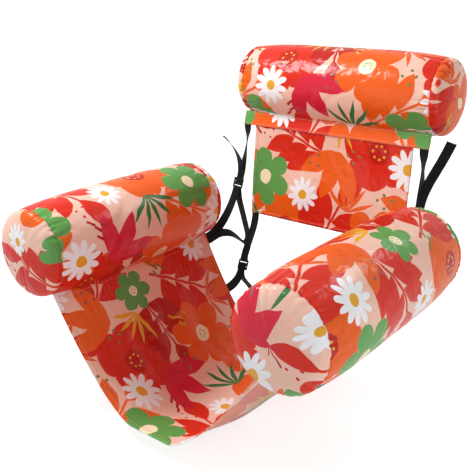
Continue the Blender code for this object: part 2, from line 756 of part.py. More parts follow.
def main():
    clear_scene()
    materials = {
        "print": make_material("printed_cloth", (0.93, 0.45, 0.36), 0.35),
        "film": make_material("bladder_film", (0.80, 0.84, 0.86), 0.30),
        "valve": make_material("valve_vinyl", (0.90, 0.91, 0.90), 0.35),
        "webbing": make_material("webbing", (0.015, 0.015, 0.017), 0.75),
        "buckle": make_material("buckle_plastic", (0.02, 0.02, 0.022), 0.40),
    }
    seat = make_carrier("seat_body", MIDDLE)
    sewn, _ = sewn_on_sling(1, LOWER_SEAM_OUT)
    hinge = Vector((0, sewn[1].y, sewn[1].z))
    backrest = make_carrier("backrest_body", hinge)
    build_sling(materials, seat)
    build_skirt(materials, backrest)
    build_panel(materials, backrest)
    for label, side in SIDES.items():
        seam = MIDDLE + Vector((side * SEAM_OUT, 0, SEAM_Z - ARM_Z))
        arm_body = make_carrier(f"{label}_arm_body", seam)
        centre = MIDDLE + Vector((side * ARM_SPACING / 2, 0, 0))
        arm = Roll(f"{label}_arm", ARM_RADIUS, ARM_LENGTH, "Y", centre, 1, materials, arm_body)
        build_roll(arm, ("front", "back"))
        build_upper_strap(label, side, materials, backrest)
        build_upper_loop(label, side, materials, seat)
        build_lower_strap(label, side, materials, backrest)
        build_lower_webbing(label, side, materials, backrest)
    roll_body = make_carrier("back_roll_body", SKIRT_TOP)
    roll = Roll("back_roll", BACK_RADIUS, BACK_LENGTH, "X", ROLL_AXIS, -1, materials, roll_body)
    build_roll(roll, ("right", "left"))
    print("origin of arm folds", SEAM_OUT, SEAM_Z)
    print("origin of back recline", hinge)
    print("origin of roll fold", SKIRT_TOP)


def build_roll(roll, labels):
    roll.build_sleeve()
    for end, label in zip((-1, 1), labels):
        roll.build_disc(end, label)
    roll.build_chamber()
    roll.build_valve()
    hinge = roll.plug_hinge()
    roll.build_plug(make_carrier(f"{roll.name}_plug_body", hinge))
    print(roll.name, "plug hinge", hinge)


main()
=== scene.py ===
# %% [markdown]
# # An inflatable pool chair
#
# The real chair is a sheet of coated polyester slung between two air rolls, with a third roll and a
# hanging panel behind it. Straps of webbing tie the back to the seat. The imported model gives every
# size and place, so this script only makes the looks: gathered cloth, a floral print, hems, thread
# and woven straps.
#
# The first cell loads that model.

# %% Load the frame
import json
import math
import random
from contextlib import contextmanager

import bmesh
import bpy
import numpy as np
from mathutils import Matrix, Vector


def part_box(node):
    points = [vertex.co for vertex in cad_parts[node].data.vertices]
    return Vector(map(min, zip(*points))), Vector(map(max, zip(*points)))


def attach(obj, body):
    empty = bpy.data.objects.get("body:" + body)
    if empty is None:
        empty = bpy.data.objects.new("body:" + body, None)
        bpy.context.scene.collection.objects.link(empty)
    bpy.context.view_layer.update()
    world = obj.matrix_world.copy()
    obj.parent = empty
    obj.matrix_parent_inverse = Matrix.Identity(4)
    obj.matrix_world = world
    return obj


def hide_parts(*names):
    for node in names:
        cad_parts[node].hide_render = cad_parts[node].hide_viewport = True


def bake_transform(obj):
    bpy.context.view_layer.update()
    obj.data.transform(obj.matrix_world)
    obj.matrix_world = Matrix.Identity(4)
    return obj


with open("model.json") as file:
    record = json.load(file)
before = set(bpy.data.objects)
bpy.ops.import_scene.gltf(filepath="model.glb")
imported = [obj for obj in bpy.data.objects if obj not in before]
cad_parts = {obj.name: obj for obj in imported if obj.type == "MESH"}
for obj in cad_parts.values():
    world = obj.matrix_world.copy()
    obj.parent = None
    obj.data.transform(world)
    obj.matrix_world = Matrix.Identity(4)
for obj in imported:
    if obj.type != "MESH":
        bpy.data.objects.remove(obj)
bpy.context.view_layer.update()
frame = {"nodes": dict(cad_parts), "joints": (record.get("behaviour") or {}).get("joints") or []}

# %% [markdown]
# ## Camera, light and floor
#
# The photograph looks down on the chair from its front left. The camera stands where the rolls'
# outlines fit the picture. A camera could be aimed with a Track To constraint, but three angles turned
# into a matrix keep the small roll of the real camera.

# %% Camera
CAMERA_PLACE = Vector((1.0096, -1.4019, 1.0069))
CAMERA_YAW, CAMERA_PITCH, CAMERA_ROLL = 0.6691, 0.3401, -0.0042
CAMERA_LENS_MM = 55.29

def new_object(name, data):
    """An object in the scene for a mesh, a lamp or a camera."""
    thing = bpy.data.objects.new(name, data)
    bpy.context.scene.collection.objects.link(thing)
    return thing

def make_camera():
    forward = Vector((-math.sin(CAMERA_YAW) * math.cos(CAMERA_PITCH),
                      math.cos(CAMERA_YAW) * math.cos(CAMERA_PITCH),
                      -math.sin(CAMERA_PITCH)))
    right = forward.cross(Vector((0, 0, 1))).normalized()
    up = right.cross(forward)
    turn = Matrix((right, up, -forward)).transposed() @ Matrix.Rotation(CAMERA_ROLL, 3, "Z")
    camera = new_object("camera", bpy.data.cameras.new("camera"))
    camera.data.lens = CAMERA_LENS_MM
    camera.data.clip_end = 50
    camera.matrix_world = Matrix.Translation(CAMERA_PLACE) @ turn.to_4x4()
    bpy.context.scene.camera = camera

make_camera()
bpy.context.scene.view_settings.view_transform = "Standard"

# %% [markdown]
# Every material here is a tree of nodes. Writing each link by hand hides the idea, so small helpers do
# it: one adds a node and fills its sockets, from numbers or from other nodes, and two do arithmetic,
# with numbers and with vectors.

# %% Node helpers
def srgb(red, green, blue):
    """A colour as picked on a screen, 0 to 255, in the linear values that shaders use."""
    def linear(value):
        value /= 255
        return value / 12.92 if value <= 0.04045 else ((value + 0.055) / 1.055) ** 2.4
    return (linear(red), linear(green), linear(blue), 1.0)

def add_node(tree, kind, inputs=None, **settings):
    """A node with its settings, and its inputs by name or number: a socket is linked, a value set."""
    node = tree.nodes.new(kind if kind.startswith("Node") else f"ShaderNode{kind}")
    for key, value in settings.items():
        setattr(node, key, value)
    for key, value in (inputs or {}).items():
        if isinstance(value, bpy.types.NodeSocket):
            tree.links.new(value, node.inputs[key])
        else:
            node.inputs[key].default_value = value
    return node

def compute(tree, operation, *values, clamp=False):
    """A Math node's result."""
    inputs = dict(enumerate(values))
    return add_node(tree, "Math", inputs, operation=operation, use_clamp=clamp).outputs[0]

def vector(tree, operation, *values):
    """A Vector Math node's result, which is a number for a length or a dot product."""
    result = "Value" if operation in ("LENGTH", "DOT_PRODUCT") else "Vector"
    return add_node(tree, "VectorMath", dict(enumerate(values)), operation=operation).outputs[result]

def new_material(name):
    """A material and its empty node tree."""
    material = bpy.data.materials.new(name)
    material.use_nodes = True
    material.node_tree.nodes.clear()
    return material, material.node_tree

def set_surface(tree, shader, output="OutputMaterial"):
    add_node(tree, output, {"Surface": shader.outputs[0]})

# %% [markdown]
# The picture's background is almost white, with only a soft shadow. A floor painted that bright would
# also light the chair from below and wash out its colours. Light Path tells apart the rays that are seen,
# straight, in a reflection or through clear stuff, so the floor can look white and still light the chair as
# a pale grey floor does. Far away it glows a little more, so that it has no visible edge against the sky.

# %% Floor and world
FLOOR_HALF = 12
FLOOR_GREY, FLOOR_GLOW, FAR_GLOW = 0.62, 0.75, 0.95
GLOW_RISES_FROM, GLOW_RISES_TO = 1.2, 4.0
WORLD_LIGHT = 0.29
WHITE = (1, 1, 1, 1)

def is_seen(tree):
    """1 for a ray from the camera, a reflection or clear stuff, and 0 for one that only lights."""
    rays = add_node(tree, "LightPath").outputs
    mirrored = compute(tree, "MAXIMUM", rays["Is Glossy Ray"], rays["Is Transmission Ray"])
    return compute(tree, "MAXIMUM", rays["Is Camera Ray"], mirrored)

def make_floor():
    material, tree = new_material("pale_floor")
    grey = add_node(tree, "BsdfDiffuse", {"Color": (FLOOR_GREY, FLOOR_GREY, FLOOR_GREY, 1)})
    place = add_node(tree, "TexCoord").outputs["Object"]
    rise = add_node(tree, "MapRange", {
        "Value": vector(tree, "LENGTH", place), "From Min": GLOW_RISES_FROM, "From Max": GLOW_RISES_TO,
        "To Min": FLOOR_GLOW, "To Max": FAR_GLOW})
    strength = compute(tree, "MULTIPLY", is_seen(tree), rise.outputs[0])
    glow = add_node(tree, "Emission", {"Strength": strength})
    set_surface(tree, add_node(tree, "AddShader", {0: grey.outputs[0], 1: glow.outputs[0]}))
    mesh = bpy.data.meshes.new("floor")
    corners = [(x * FLOOR_HALF, y * FLOOR_HALF, 0) for x, y in ((-1, -1), (1, -1), (1, 1), (-1, 1))]
    mesh.from_pydata(corners, [], [(0, 1, 2, 3)])
    mesh.materials.append(material)
    new_object("floor", mesh)

def make_world():
    world = bpy.data.worlds.new("white_studio")
    world.use_nodes = True
    tree = world.node_tree
    tree.nodes.clear()
    strength = compute(tree, "MAXIMUM", is_seen(tree), WORLD_LIGHT)
    set_surface(tree, add_node(tree, "Background", {"Color": WHITE, "Strength": strength}), "OutputWorld")
    bpy.context.scene.world = world

make_floor()
make_world()

# %% [markdown]
# The cloth's coating shows as small white streaks along the tops of the rolls, so the main lamp is a
# soft box above and to the left. Weaker ones fill from the front and the right, and the seat stays in
# shade.

# %% Lamps
LAMPS = {
    "key": {"place": (-1.3, -0.7, 2.5), "size": 0.8, "power": 62},
    "back": {"place": (0.9, 1.9, 2.3), "size": 0.8, "power": 13},
    "fill": {"place": (-0.8, -2.8, 0.9), "size": 1.6, "power": 12},
    "side": {"place": (2.1, -0.7, 0.12), "size": 1.6, "power": 26},
}
LAMP_AIM = Vector((0, 0, 0.35))

for lamp_name, lamp in LAMPS.items():
    holder = new_object(lamp_name, bpy.data.lights.new(lamp_name, "AREA"))
    holder.data.size = lamp["size"]
    holder.data.energy = lamp["power"]
    holder.location = lamp["place"]
    aim = LAMP_AIM - holder.location
    holder.rotation_euler = aim.to_track_quat("-Z", "Y").to_euler()

# %% [markdown]
# ## The print
#
# The cloth is printed with large flat shapes: blossoms, leafy sprigs, poppies, dashes and dots, each a
# tenth to a fifth of a metre across, like cut paper. The print here is a design of its own in such
# colours. It could be a painted image, but shapes worked out from formulas stay sharp at any distance
# and need no file. Each shape is a mask between 0 and 1, worked out from its own centre.
#
# A cloth print repeats. Vector Math's Wrap brings every place on the cloth into one tile round the
# shape's centre, so a single set of nodes draws that shape on the whole cloth.

# %% Where a shape lies
TILE = (0.56, 0.50, 1.0)

def new_group(name, inputs, outputs):
    """A node group with sockets given as kind and names, and what its inputs give."""
    tree = bpy.data.node_groups.new(name, "ShaderNodeTree")
    for way, (kind, names) in (("INPUT", inputs), ("OUTPUT", outputs)):
        for socket in names:
            tree.interface.new_socket(socket, in_out=way, socket_type=f"NodeSocket{kind}")
    return tree, add_node(tree, "NodeGroupInput").outputs

def make_place_group():
    """Coordinates of a shape: measured from its centre, wrapped in the tile, turned and scaled."""
    tree, given = new_group("shape_place", ("Vector", ("Cloth", "Centre", "Turn", "Size")),
                            ("Vector", ("Local",)))
    away = vector(tree, "SUBTRACT", given["Cloth"], given["Centre"])
    half = [side / 2 for side in TILE]
    wrapped = vector(tree, "WRAP", away, half, [-side for side in half])
    placing = {"Vector": wrapped, "Rotation": given["Turn"], "Scale": given["Size"]}
    local = add_node(tree, "Mapping", placing, vector_type="TEXTURE")
    add_node(tree, "NodeGroupOutput", {"Local": local.outputs[0]})
    return tree

place_group = make_place_group()

# %% [markdown]
# A mask comes from a distance inside an edge. Dividing it by a hair's width and clamping gives a crisp
# edge without jagged steps. A place is split into x and y with dot products. Their two axes can be turned,
# so one small helper also turns a shape, with far fewer nodes than a Mapping for each of its parts.

# %% Masks
EDGE_BLUR = 0.012

def new_shape(name, *outputs):
    """A group whose input is a shape's own coordinates, in units of its size."""
    tree, given = new_group(name, ("Vector", ("Local",)), ("Float", outputs or ("Mask",)))
    return tree, given["Local"]

def split(tree, place, turn=0.0):
    """The x and y of a place, along axes turned by an angle."""
    axes = ((math.cos(turn), math.sin(turn), 0), (-math.sin(turn), math.cos(turn), 0))
    return [vector(tree, "DOT_PRODUCT", place, axis) for axis in axes]

def measured_from(tree, place, x, y):
    return vector(tree, "SUBTRACT", place, (x, y, 0))

def inside(tree, distance):
    """1 where the distance inside an edge is positive, 0 outside."""
    return compute(tree, "MULTIPLY_ADD", distance, 1 / EDGE_BLUR, 0.5, clamp=True)

def size_of(tree, value):
    """A number without its sign."""
    return compute(tree, "ABSOLUTE", value)

def add_union(tree, masks):
    """The group with its output, which is 1 where any of the masks is."""
    result = masks[0]
    for mask in masks[1:]:
        result = compute(tree, "MAXIMUM", result, mask)
    add_node(tree, "NodeGroupOutput", {"Mask": result})
    return tree

# %% [markdown]
# A blossom's edge is a wave round a circle. With n petals, the radius follows the cosine of half of n
# times the angle. A low power of the cosine makes petals round and the gaps between them narrow.

# %% Blossoms
def make_blossom(name, petals, notch, roundness, heart):
    """Petals within radius 1 and a heart. notch is how deep the gaps go."""
    tree, local = new_shape(name, "Petals", "Heart")
    x, y = split(tree, local)
    angle = compute(tree, "ARCTAN2", y, x)
    radius = vector(tree, "LENGTH", local)
    wave = compute(tree, "COSINE", compute(tree, "MULTIPLY", angle, petals / 2))
    wave = compute(tree, "POWER", size_of(tree, wave), roundness)
    edge = compute(tree, "MULTIPLY_ADD", wave, notch, 1 - notch)
    add_node(tree, "NodeGroupOutput", {
        "Petals": inside(tree, compute(tree, "SUBTRACT", edge, radius)),
        "Heart": inside(tree, compute(tree, "SUBTRACT", heart, radius))})
    return tree

six_petals = make_blossom("six_petals", 6, 0.45, 0.55, 0.24)
daisy = make_blossom("daisy", 11, 0.52, 0.8, 0.26)
poppy = make_blossom("poppy", 4, 0.22, 0.45, 0.30)

# %% [markdown]
# A leaf is the almond between two arcs, which is a parabola on each side of its middle line. A sprig
# has its leaves in pairs, so the sprig is folded along its stem with an absolute value, and one leaf
# draws both.

# %% Sprigs and fans
LOWEST_PAIR, PAIRS_REACH = -0.72, 1.1
TIP_LEAF_FROM, TIP_LEAF_SHARE = 0.42, 0.9
LEAF_BASE, SHRINK = 0.03, 0.25
STEM_HALF_WIDTH, STEM_HALF_LENGTH, STEM_SHIFT = 0.028, 0.8, 0.2
FAN_BASE = -0.8

def leaf(tree, local, place, turn, length, width):
    """An almond of that length that starts at a place and points along a turn."""
    x, y = split(tree, measured_from(tree, local, *place), turn)
    along = compute(tree, "MULTIPLY_ADD", x, 2 / length, -1)
    swell = compute(tree, "SUBTRACT", 1, compute(tree, "MULTIPLY", along, along))
    edge = compute(tree, "MULTIPLY", swell, width / 2)
    return inside(tree, compute(tree, "SUBTRACT", edge, size_of(tree, y)))

def make_sprig(name, pairs, leaf_length, leaf_width, splay):
    """A stem with pairs of leaves that shorten towards a leaf at the tip."""
    tree, local = new_shape(name)
    x, y = split(tree, local)
    both = add_node(tree, "CombineXYZ", {0: x, 1: size_of(tree, y)}).outputs[0]
    masks = [leaf(tree, local, (TIP_LEAF_FROM, 0), 0, leaf_length * TIP_LEAF_SHARE, leaf_width)]
    for i in range(pairs):
        share = i / pairs
        place = (LOWEST_PAIR + PAIRS_REACH * share, LEAF_BASE)
        size = 1 - SHRINK * share
        masks.append(leaf(tree, both, place, splay, leaf_length * size, leaf_width * size))
    stem = compute(tree, "SUBTRACT", STEM_HALF_WIDTH, size_of(tree, y))
    along = size_of(tree, compute(tree, "ADD", x, STEM_SHIFT))
    reach = compute(tree, "SUBTRACT", STEM_HALF_LENGTH, along)
    masks.append(inside(tree, compute(tree, "MINIMUM", stem, reach)))
    return add_union(tree, masks)

def make_fan(name, leaves, length, width, spread):
    """Leaves that spread from one point, like an opening bud."""
    tree, local = new_shape(name)
    turns = [spread * (2 * i / (leaves - 1) - 1) for i in range(leaves)]
    return add_union(tree, [leaf(tree, local, (FAN_BASE, 0), turn, length, width) for turn in turns])

sprig = make_sprig("sprig", 3, 0.95, 0.44, math.radians(48))
bud_fan = make_fan("bud_fan", 3, 1.7, 0.62, math.radians(42))
reed_fan = make_fan("reed_fan", 5, 1.8, 0.24, math.radians(58))

# %% [markdown]
# The small marks between the flowers are dashes with round ends, dots, and rings of seeds. All are the
# same shape: every place within a radius of a short line, and a dot is such a line without length.

# %% Dashes, dots and seeds
SEED_COUNT, SEED_RING = 7, 0.75

def make_marks(name, places, length, radius):
    """Marks at places, which are given as x, y and turn."""
    tree, local = new_shape(name)
    masks = []
    for px, py, turn in places:
        x, y = split(tree, measured_from(tree, local, px, py), turn)
        past = compute(tree, "MAXIMUM", compute(tree, "SUBTRACT", size_of(tree, x), length), 0)
        square = compute(tree, "ADD", compute(tree, "MULTIPLY", past, past),
                         compute(tree, "MULTIPLY", y, y))
        away = compute(tree, "SQRT", square)
        masks.append(inside(tree, compute(tree, "SUBTRACT", radius, away)))
    return add_union(tree, masks)

dash_places = [(-0.5, -0.3, 0.4), (0.0, 0.1, 0.6), (0.5, -0.1, 0.3), (0.1, 0.7, 0.5)]
dot_places = [(-0.6, 0.1, 0), (0.0, -0.5, 0), (0.55, 0.2, 0), (-0.1, 0.55, 0)]
seed_turns = [math.tau * i / SEED_COUNT for i in range(SEED_COUNT)]
seed_places = [(SEED_RING * math.cos(a), SEED_RING * math.sin(a), 0) for a in seed_turns]
dashes = make_marks("dashes", dash_places, 0.24, 0.10)
dots = make_marks("dots", dot_places, 0.0, 0.13)
seeds = make_marks("seeds", seed_places, 0.0, 0.16)

# %% [markdown]
# The printer lays the inks one over another, and so does the material: it starts from the ground colour
# and mixes in one shape after another. The list below is the whole design: shape, ink, place in the tile,
# turn, size. Large shapes come first and small marks fill what is left.

# %% The design
INKS = {
    "ground": srgb(242, 183, 162),
    "blush": srgb(246, 208, 190),
    "red": srgb(216, 42, 22),
    "brick": srgb(190, 28, 18),
    "orange": srgb(236, 96, 22),
    "green": srgb(98, 160, 80),
    "leaf": srgb(52, 122, 60),
    "crimson": srgb(216, 34, 60),
    "white": srgb(246, 245, 248),
    "mustard": srgb(232, 168, 48),
    "olive": srgb(116, 132, 62),
    "mauve": srgb(150, 96, 92),
    "cream": srgb(250, 232, 196),
    "unprinted": srgb(252, 226, 214),
}
# shape, ink of its body, ink of its heart or None, x, y, turn in degrees, size
DESIGN = [
    (poppy, "orange", "brick", 0.095, 0.080, 20, 0.100),
    (poppy, "red", "brick", 0.375, 0.335, 65, 0.108),
    (sprig, "red", None, 0.245, 0.120, 62, 0.138),
    (sprig, "orange", None, 0.500, 0.190, 118, 0.134),
    (sprig, "red", None, 0.110, 0.345, 158, 0.130),
    (sprig, "brick", None, 0.330, 0.470, 15, 0.112),
    (six_petals, "orange", "cream", 0.385, 0.085, 10, 0.100),
    (six_petals, "green", "cream", 0.015, 0.215, 40, 0.086),
    (six_petals, "green", "cream", 0.205, 0.425, 25, 0.056),
    (bud_fan, "orange", None, 0.235, 0.255, 250, 0.084),
    (bud_fan, "crimson", None, 0.480, 0.440, 35, 0.080),
    (daisy, "white", "mustard", 0.150, 0.185, 0, 0.050),
    (daisy, "white", "mustard", 0.460, 0.300, 15, 0.056),
    (daisy, "white", "mustard", 0.055, 0.445, 8, 0.044),
    (reed_fan, "orange", None, 0.300, 0.200, 80, 0.050),
    (reed_fan, "leaf", None, 0.530, 0.055, 170, 0.052),
    (reed_fan, "mustard", None, 0.290, 0.385, 320, 0.046),
    (dashes, "mustard", None, 0.318, 0.030, 30, 0.034),
    (dashes, "brick", None, 0.530, 0.365, 100, 0.036),
    (seeds, "mustard", None, 0.095, 0.080, 0, 0.022),
    (seeds, "mustard", None, 0.375, 0.335, 20, 0.024),
    (seeds, "leaf", None, 0.385, 0.085, 10, 0.013),
    (seeds, "leaf", None, 0.205, 0.425, 30, 0.010),
    (dashes, "olive", None, 0.170, 0.022, 0, 0.030),
    (dots, "olive", None, 0.405, 0.205, 0, 0.034),
    (dots, "mauve", None, 0.180, 0.285, 40, 0.034),
    (dots, "olive", None, 0.300, 0.310, 0, 0.030),
    (dots, "mauve", None, 0.435, 0.490, 70, 0.036),
    (dots, "crimson", None, 0.020, 0.345, 15, 0.028),
]

# %% [markdown]
# Cut paper never has a perfect edge, so a little noise bends the cloth coordinates before any shape is
# drawn. The whole design becomes one group with the cloth's coordinates in and a colour out, and both
# faces of the cloth use it.

# %% The print as one group
WOBBLE_SCALE, WOBBLE = 26.0, 0.010
WASH_SCALE = 9.0

def mix_colour(tree, factor, under, over):
    """One colour laid over another."""
    return add_node(tree, "Mix", {0: factor, 6: under, 7: over}, data_type="RGBA").outputs[2]

def noise(tree, place, scale, detail=2.0, **more):
    inputs = {"Vector": place, "Scale": scale, "Detail": detail, **more}
    return add_node(tree, "TexNoise", inputs).outputs

def make_print_group():
    tree, given = new_group("floral_print", ("Vector", ("Cloth",)), ("Color", ("Colour",)))
    cloth = given["Cloth"]
    centred = vector(tree, "SUBTRACT", noise(tree, cloth, WOBBLE_SCALE, 1.0)["Color"], (0.5, 0.5, 0.5))
    shift = vector(tree, "MULTIPLY", centred, (WOBBLE, WOBBLE, 0))
    bent = vector(tree, "ADD", cloth, shift)
    colour = mix_colour(tree, noise(tree, cloth, WASH_SCALE)[0], INKS["ground"], INKS["blush"])
    for shape, body, heart, x, y, turn, size in DESIGN:
        values = {"Centre": (x, y, 0), "Turn": (0, 0, math.radians(turn)), "Size": (size, size, 1)}
        local = add_node(tree, "Group", {"Cloth": bent, **values}, node_tree=place_group)
        masks = add_node(tree, "Group", {"Local": local.outputs[0]}, node_tree=shape)
        for mask, ink in zip(masks.outputs, (body, heart)):
            colour = mix_colour(tree, mask, colour, INKS[ink])
    add_node(tree, "NodeGroupOutput", {"Colour": colour})
    return tree

print_group = make_print_group()
print("shapes in the print", len(DESIGN), "nodes", len(print_group.nodes))

# %% [markdown]
# The cloth is a fine plain weave under a thin clear coating. Two sine waves across and along the cloth
# make the threads, and a soft noise makes the shallow crinkles that break up its highlights. Both go
# through Bump, because they are far too fine for the mesh. The coating is the shader's own coat, and it
# follows the crinkles more than the cloth below does.
#
# The reverse shows the same print through the cloth, paler, so one function makes both.

# %% Cloth materials
THREAD_PITCH, THREAD_HEIGHT = 0.0007, 0.0001
CRINKLE_SCALE, CRINKLE_HEIGHT = 24.0, 0.007
COAT_CRINKLE, CLOTH_CRINKLE = 0.70, 0.40
CRINKLE_TWIST, WEAVE = 0.6, 0.25
WEAR_SCALE, WEAR = 120.0, 0.14
COAT_ROUGHNESS, CLOTH_SPECULAR = 0.12, 0.05

def bump(tree, height, strength, distance, **more):
    inputs = {"Height": height, "Strength": strength, "Distance": distance, **more}
    return add_node(tree, "Bump", inputs).outputs[0]

def cloth_bump(tree, cloth):
    """Two normals: crinkles for the gloss, and softer ones with the threads for the cloth."""
    x, y = (compute(tree, "SINE", compute(tree, "MULTIPLY", part, math.tau / THREAD_PITCH))
            for part in split(tree, cloth))
    weave = compute(tree, "MULTIPLY", x, y)
    crinkle = noise(tree, cloth, CRINKLE_SCALE, 3.0, Distortion=CRINKLE_TWIST)[0]
    gloss, soft = (bump(tree, crinkle, strength, CRINKLE_HEIGHT)
                   for strength in (COAT_CRINKLE, CLOTH_CRINKLE))
    return gloss, bump(tree, weave, WEAVE, THREAD_HEIGHT, Normal=soft)

def cloth_material(name, paleness, roughness, coat):
    material, tree = new_material(name)
    cloth = add_node(tree, "UVMap", uv_map="cloth").outputs[0]
    design = add_node(tree, "Group", {"Cloth": cloth}, node_tree=print_group)
    colour = mix_colour(tree, paleness, design.outputs[0], INKS["unprinted"])
    rough = compute(tree, "MULTIPLY_ADD", noise(tree, cloth, WEAR_SCALE)[0], WEAR, roughness)
    crinkled, woven = cloth_bump(tree, cloth)
    set_surface(tree, add_node(tree, "BsdfPrincipled", {
        "Base Color": colour, "Roughness": rough, "Normal": woven, "Coat Normal": crinkled,
        "Coat Weight": coat, "Coat Roughness": COAT_ROUGHNESS, "Specular IOR Level": CLOTH_SPECULAR}))
    return material

CLOTH_FACES = [cloth_material("printed_cloth_face", 0.0, 0.38, 0.29),
               cloth_material("printed_cloth_reverse", 0.36, 0.5, 0.06)]

# %% [markdown]
# ## Meshes from grids
#
# Every cloth here is a grid of points, rolled up or flat. One helper turns such a grid into an object and
# lays its coordinates on the cloth in real metres, so that the print has one scale everywhere. Solidify
# then gives the cloth its thickness, and puts the reverse material on the inside.

# %% Grid helper
CLOTH = 0.0012
# where on the printed cloth each kind of piece is cut, in metres
CUT_AT = {"sleeve": (0.13, 0.29), "disc": (0.17, 0.11), "sling": (0.03, 0.20), "skirt": (0.31, 0.17),
          "panel": (0.22, 0.36)}

def grid_of(first, second):
    """A grid whose rows follow second and whose columns follow first."""
    return np.stack(np.meshgrid(first, second), axis=-1)

def grid_object(name, points, materials, cloth_places=None, rolled=False, cap_end=False):
    """An object from rows of points. A rolled grid closes on itself, and needs one more column of
    cloth places than of points. cap_end closes the last row with one face."""
    rows, columns = points.shape[:2]
    faces, corners = [], []
    for r in range(rows - 1):
        for c in range(columns if rolled else columns - 1):
            d = (c + 1) % columns
            faces.append((r * columns + c, r * columns + d, (r + 1) * columns + d, (r + 1) * columns + c))
            corners += [(r, c), (r, c + 1), (r + 1, c + 1), (r + 1, c)]
    if cap_end:
        faces.append(tuple((rows - 1) * columns + c for c in range(columns)))
        corners += [(rows - 1, c) for c in range(columns)]
    mesh = bpy.data.meshes.new(name)
    mesh.from_pydata(points.reshape(-1, 3).tolist(), [], faces)
    if cloth_places is None:
        cloth_places = np.zeros((rows, columns + 1, 2))
    places = cloth_places[tuple(np.transpose(corners))]
    mesh.uv_layers.new(name="cloth").data.foreach_set("uv", places.ravel())
    mesh.shade_smooth()
    for material in materials:
        mesh.materials.append(material)
    return new_object(name, mesh)

def thicken(piece, thickness, offset, group=""):
    shell = piece.modifiers.new("cloth", "SOLIDIFY")
    shell.thickness = thickness
    shell.offset = offset
    shell.use_even_offset = True
    shell.material_offset = 1 if len(piece.data.materials) > 1 else 0
    shell.vertex_group = group

def stand_for(piece, node, body):
    """Puts a piece in the place of a node of the frame, on a body that moves."""
    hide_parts(node)
    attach(piece, body)

def soft_step(share):
    """Eased step from 0 to 1, for one number or for an array."""
    share = np.clip(share, 0, 1)
    return share * share * (3 - 2 * share)

@contextmanager
def editing(mesh):
    """A bmesh of a mesh, which is written back at the end."""
    bm = bmesh.new()
    bm.from_mesh(mesh)
    yield bm
    bm.to_mesh(mesh)
    bm.free()

joints = {joint["name"]: joint for joint in frame["joints"]}
HEM_WIDTH, HEM_EXTRA = 0.014, 0.0010

# %% [markdown]
# ## The air rolls
#
# A roll is a tube of cloth closed by two round ends. Air makes it as full as it can get, so its belly is
# a plain cylinder. The end is sewn in a circle, and the seam draws both cloths in: there the surface has
# dozens of short creases that run away from the seam and fade out. Sculpting them by hand would be slow,
# and a cloth simulation would need a very fine mesh, so each crease is a narrow valley from a formula,
# with its own place, depth, length and lean. The same creases cross the seam into the end disc.

# %% Creases at a seam
SEAM_DIP = 0.0095
SEAM_RUN = 0.150
GROOVE, GROOVE_RUN = 0.0020, 0.0050
CREASES = 34
CREASE_FADE, CREASE_START, CREASE_WIDENS = 1.4, 0.7, 0.9

def make_creases(seed):
    """Random valleys round a seam: angle, half width, depth, reach and lean."""
    draw = random.Random(seed)
    return [{
        "angle": math.tau * (i + draw.uniform(-0.4, 0.4)) / CREASES,
        "width": math.radians(draw.uniform(1.6, 3.8)),
        "depth": draw.uniform(0.0012, 0.0040),
        "reach": draw.choice([0.022, 0.030, 0.042, 0.060, 0.090, 0.125]),
        "lean": draw.uniform(-1.4, 1.4),
    } for i in range(CREASES)]

def half_turn(angle):
    """The same angle between minus half a turn and half a turn."""
    return (angle + math.pi) % math.tau - math.pi

def valley_depth(creases, angle, distance):
    """How far the creases draw the surface in, at angles round the roll and distances from the seam."""
    depth = np.zeros(np.broadcast(angle, distance).shape)
    for crease in creases:
        off = half_turn(angle - (crease["angle"] + crease["lean"] * distance))
        run = distance / crease["reach"]
        width = crease["width"] * (CREASE_START + CREASE_WIDENS * run)
        fade = np.clip(1 - run, 0, 1) ** CREASE_FADE
        depth += crease["depth"] * fade * np.exp(-((off / width) ** 2))
    return depth

# %% [markdown]
# Between its ends the cloth isn't quite smooth either. Cut pieces never match a bladder exactly, so it
# keeps long shallow dents that lie anyhow, and catch the light as soft streaks.

# %% Dents in the belly
DENTS = 38

def make_dents(seed):
    """Random shallow grooves on a sleeve: place, direction, length, width and depth."""
    draw = random.Random(seed * 31)
    return [{
        "angle": draw.uniform(0, math.tau), "along": draw.uniform(-0.24, 0.24),
        "turn": draw.gauss(0, 0.7), "length": draw.uniform(0.03, 0.10),
        "width": draw.uniform(0.005, 0.014), "depth": draw.uniform(0.0004, 0.0017),
    } for _ in range(DENTS)]

def dent_depth(roll, angle, along):
    depth = np.zeros(angle.shape)
    for dent in roll.dents:
        off = half_turn(angle - dent["angle"]) * roll.radius
        shift = along - dent["along"]
        cosine, sine = math.cos(dent["turn"]), math.sin(dent["turn"])
        run = (shift * cosine + off * sine) / dent["length"]
        side = (off * cosine - shift * sine) / dent["width"]
        depth += dent["depth"] * np.exp(-(run**2) - side**2)
    return depth

# %% [markdown]
# A roll reads its size from the frame: the sleeve's box gives its radius and length, and the end discs'
# boxes give the height of its domed ends. Its fold joint lies on the seam that closes its tube of cloth.

# %% Rolls
AROUND = 240

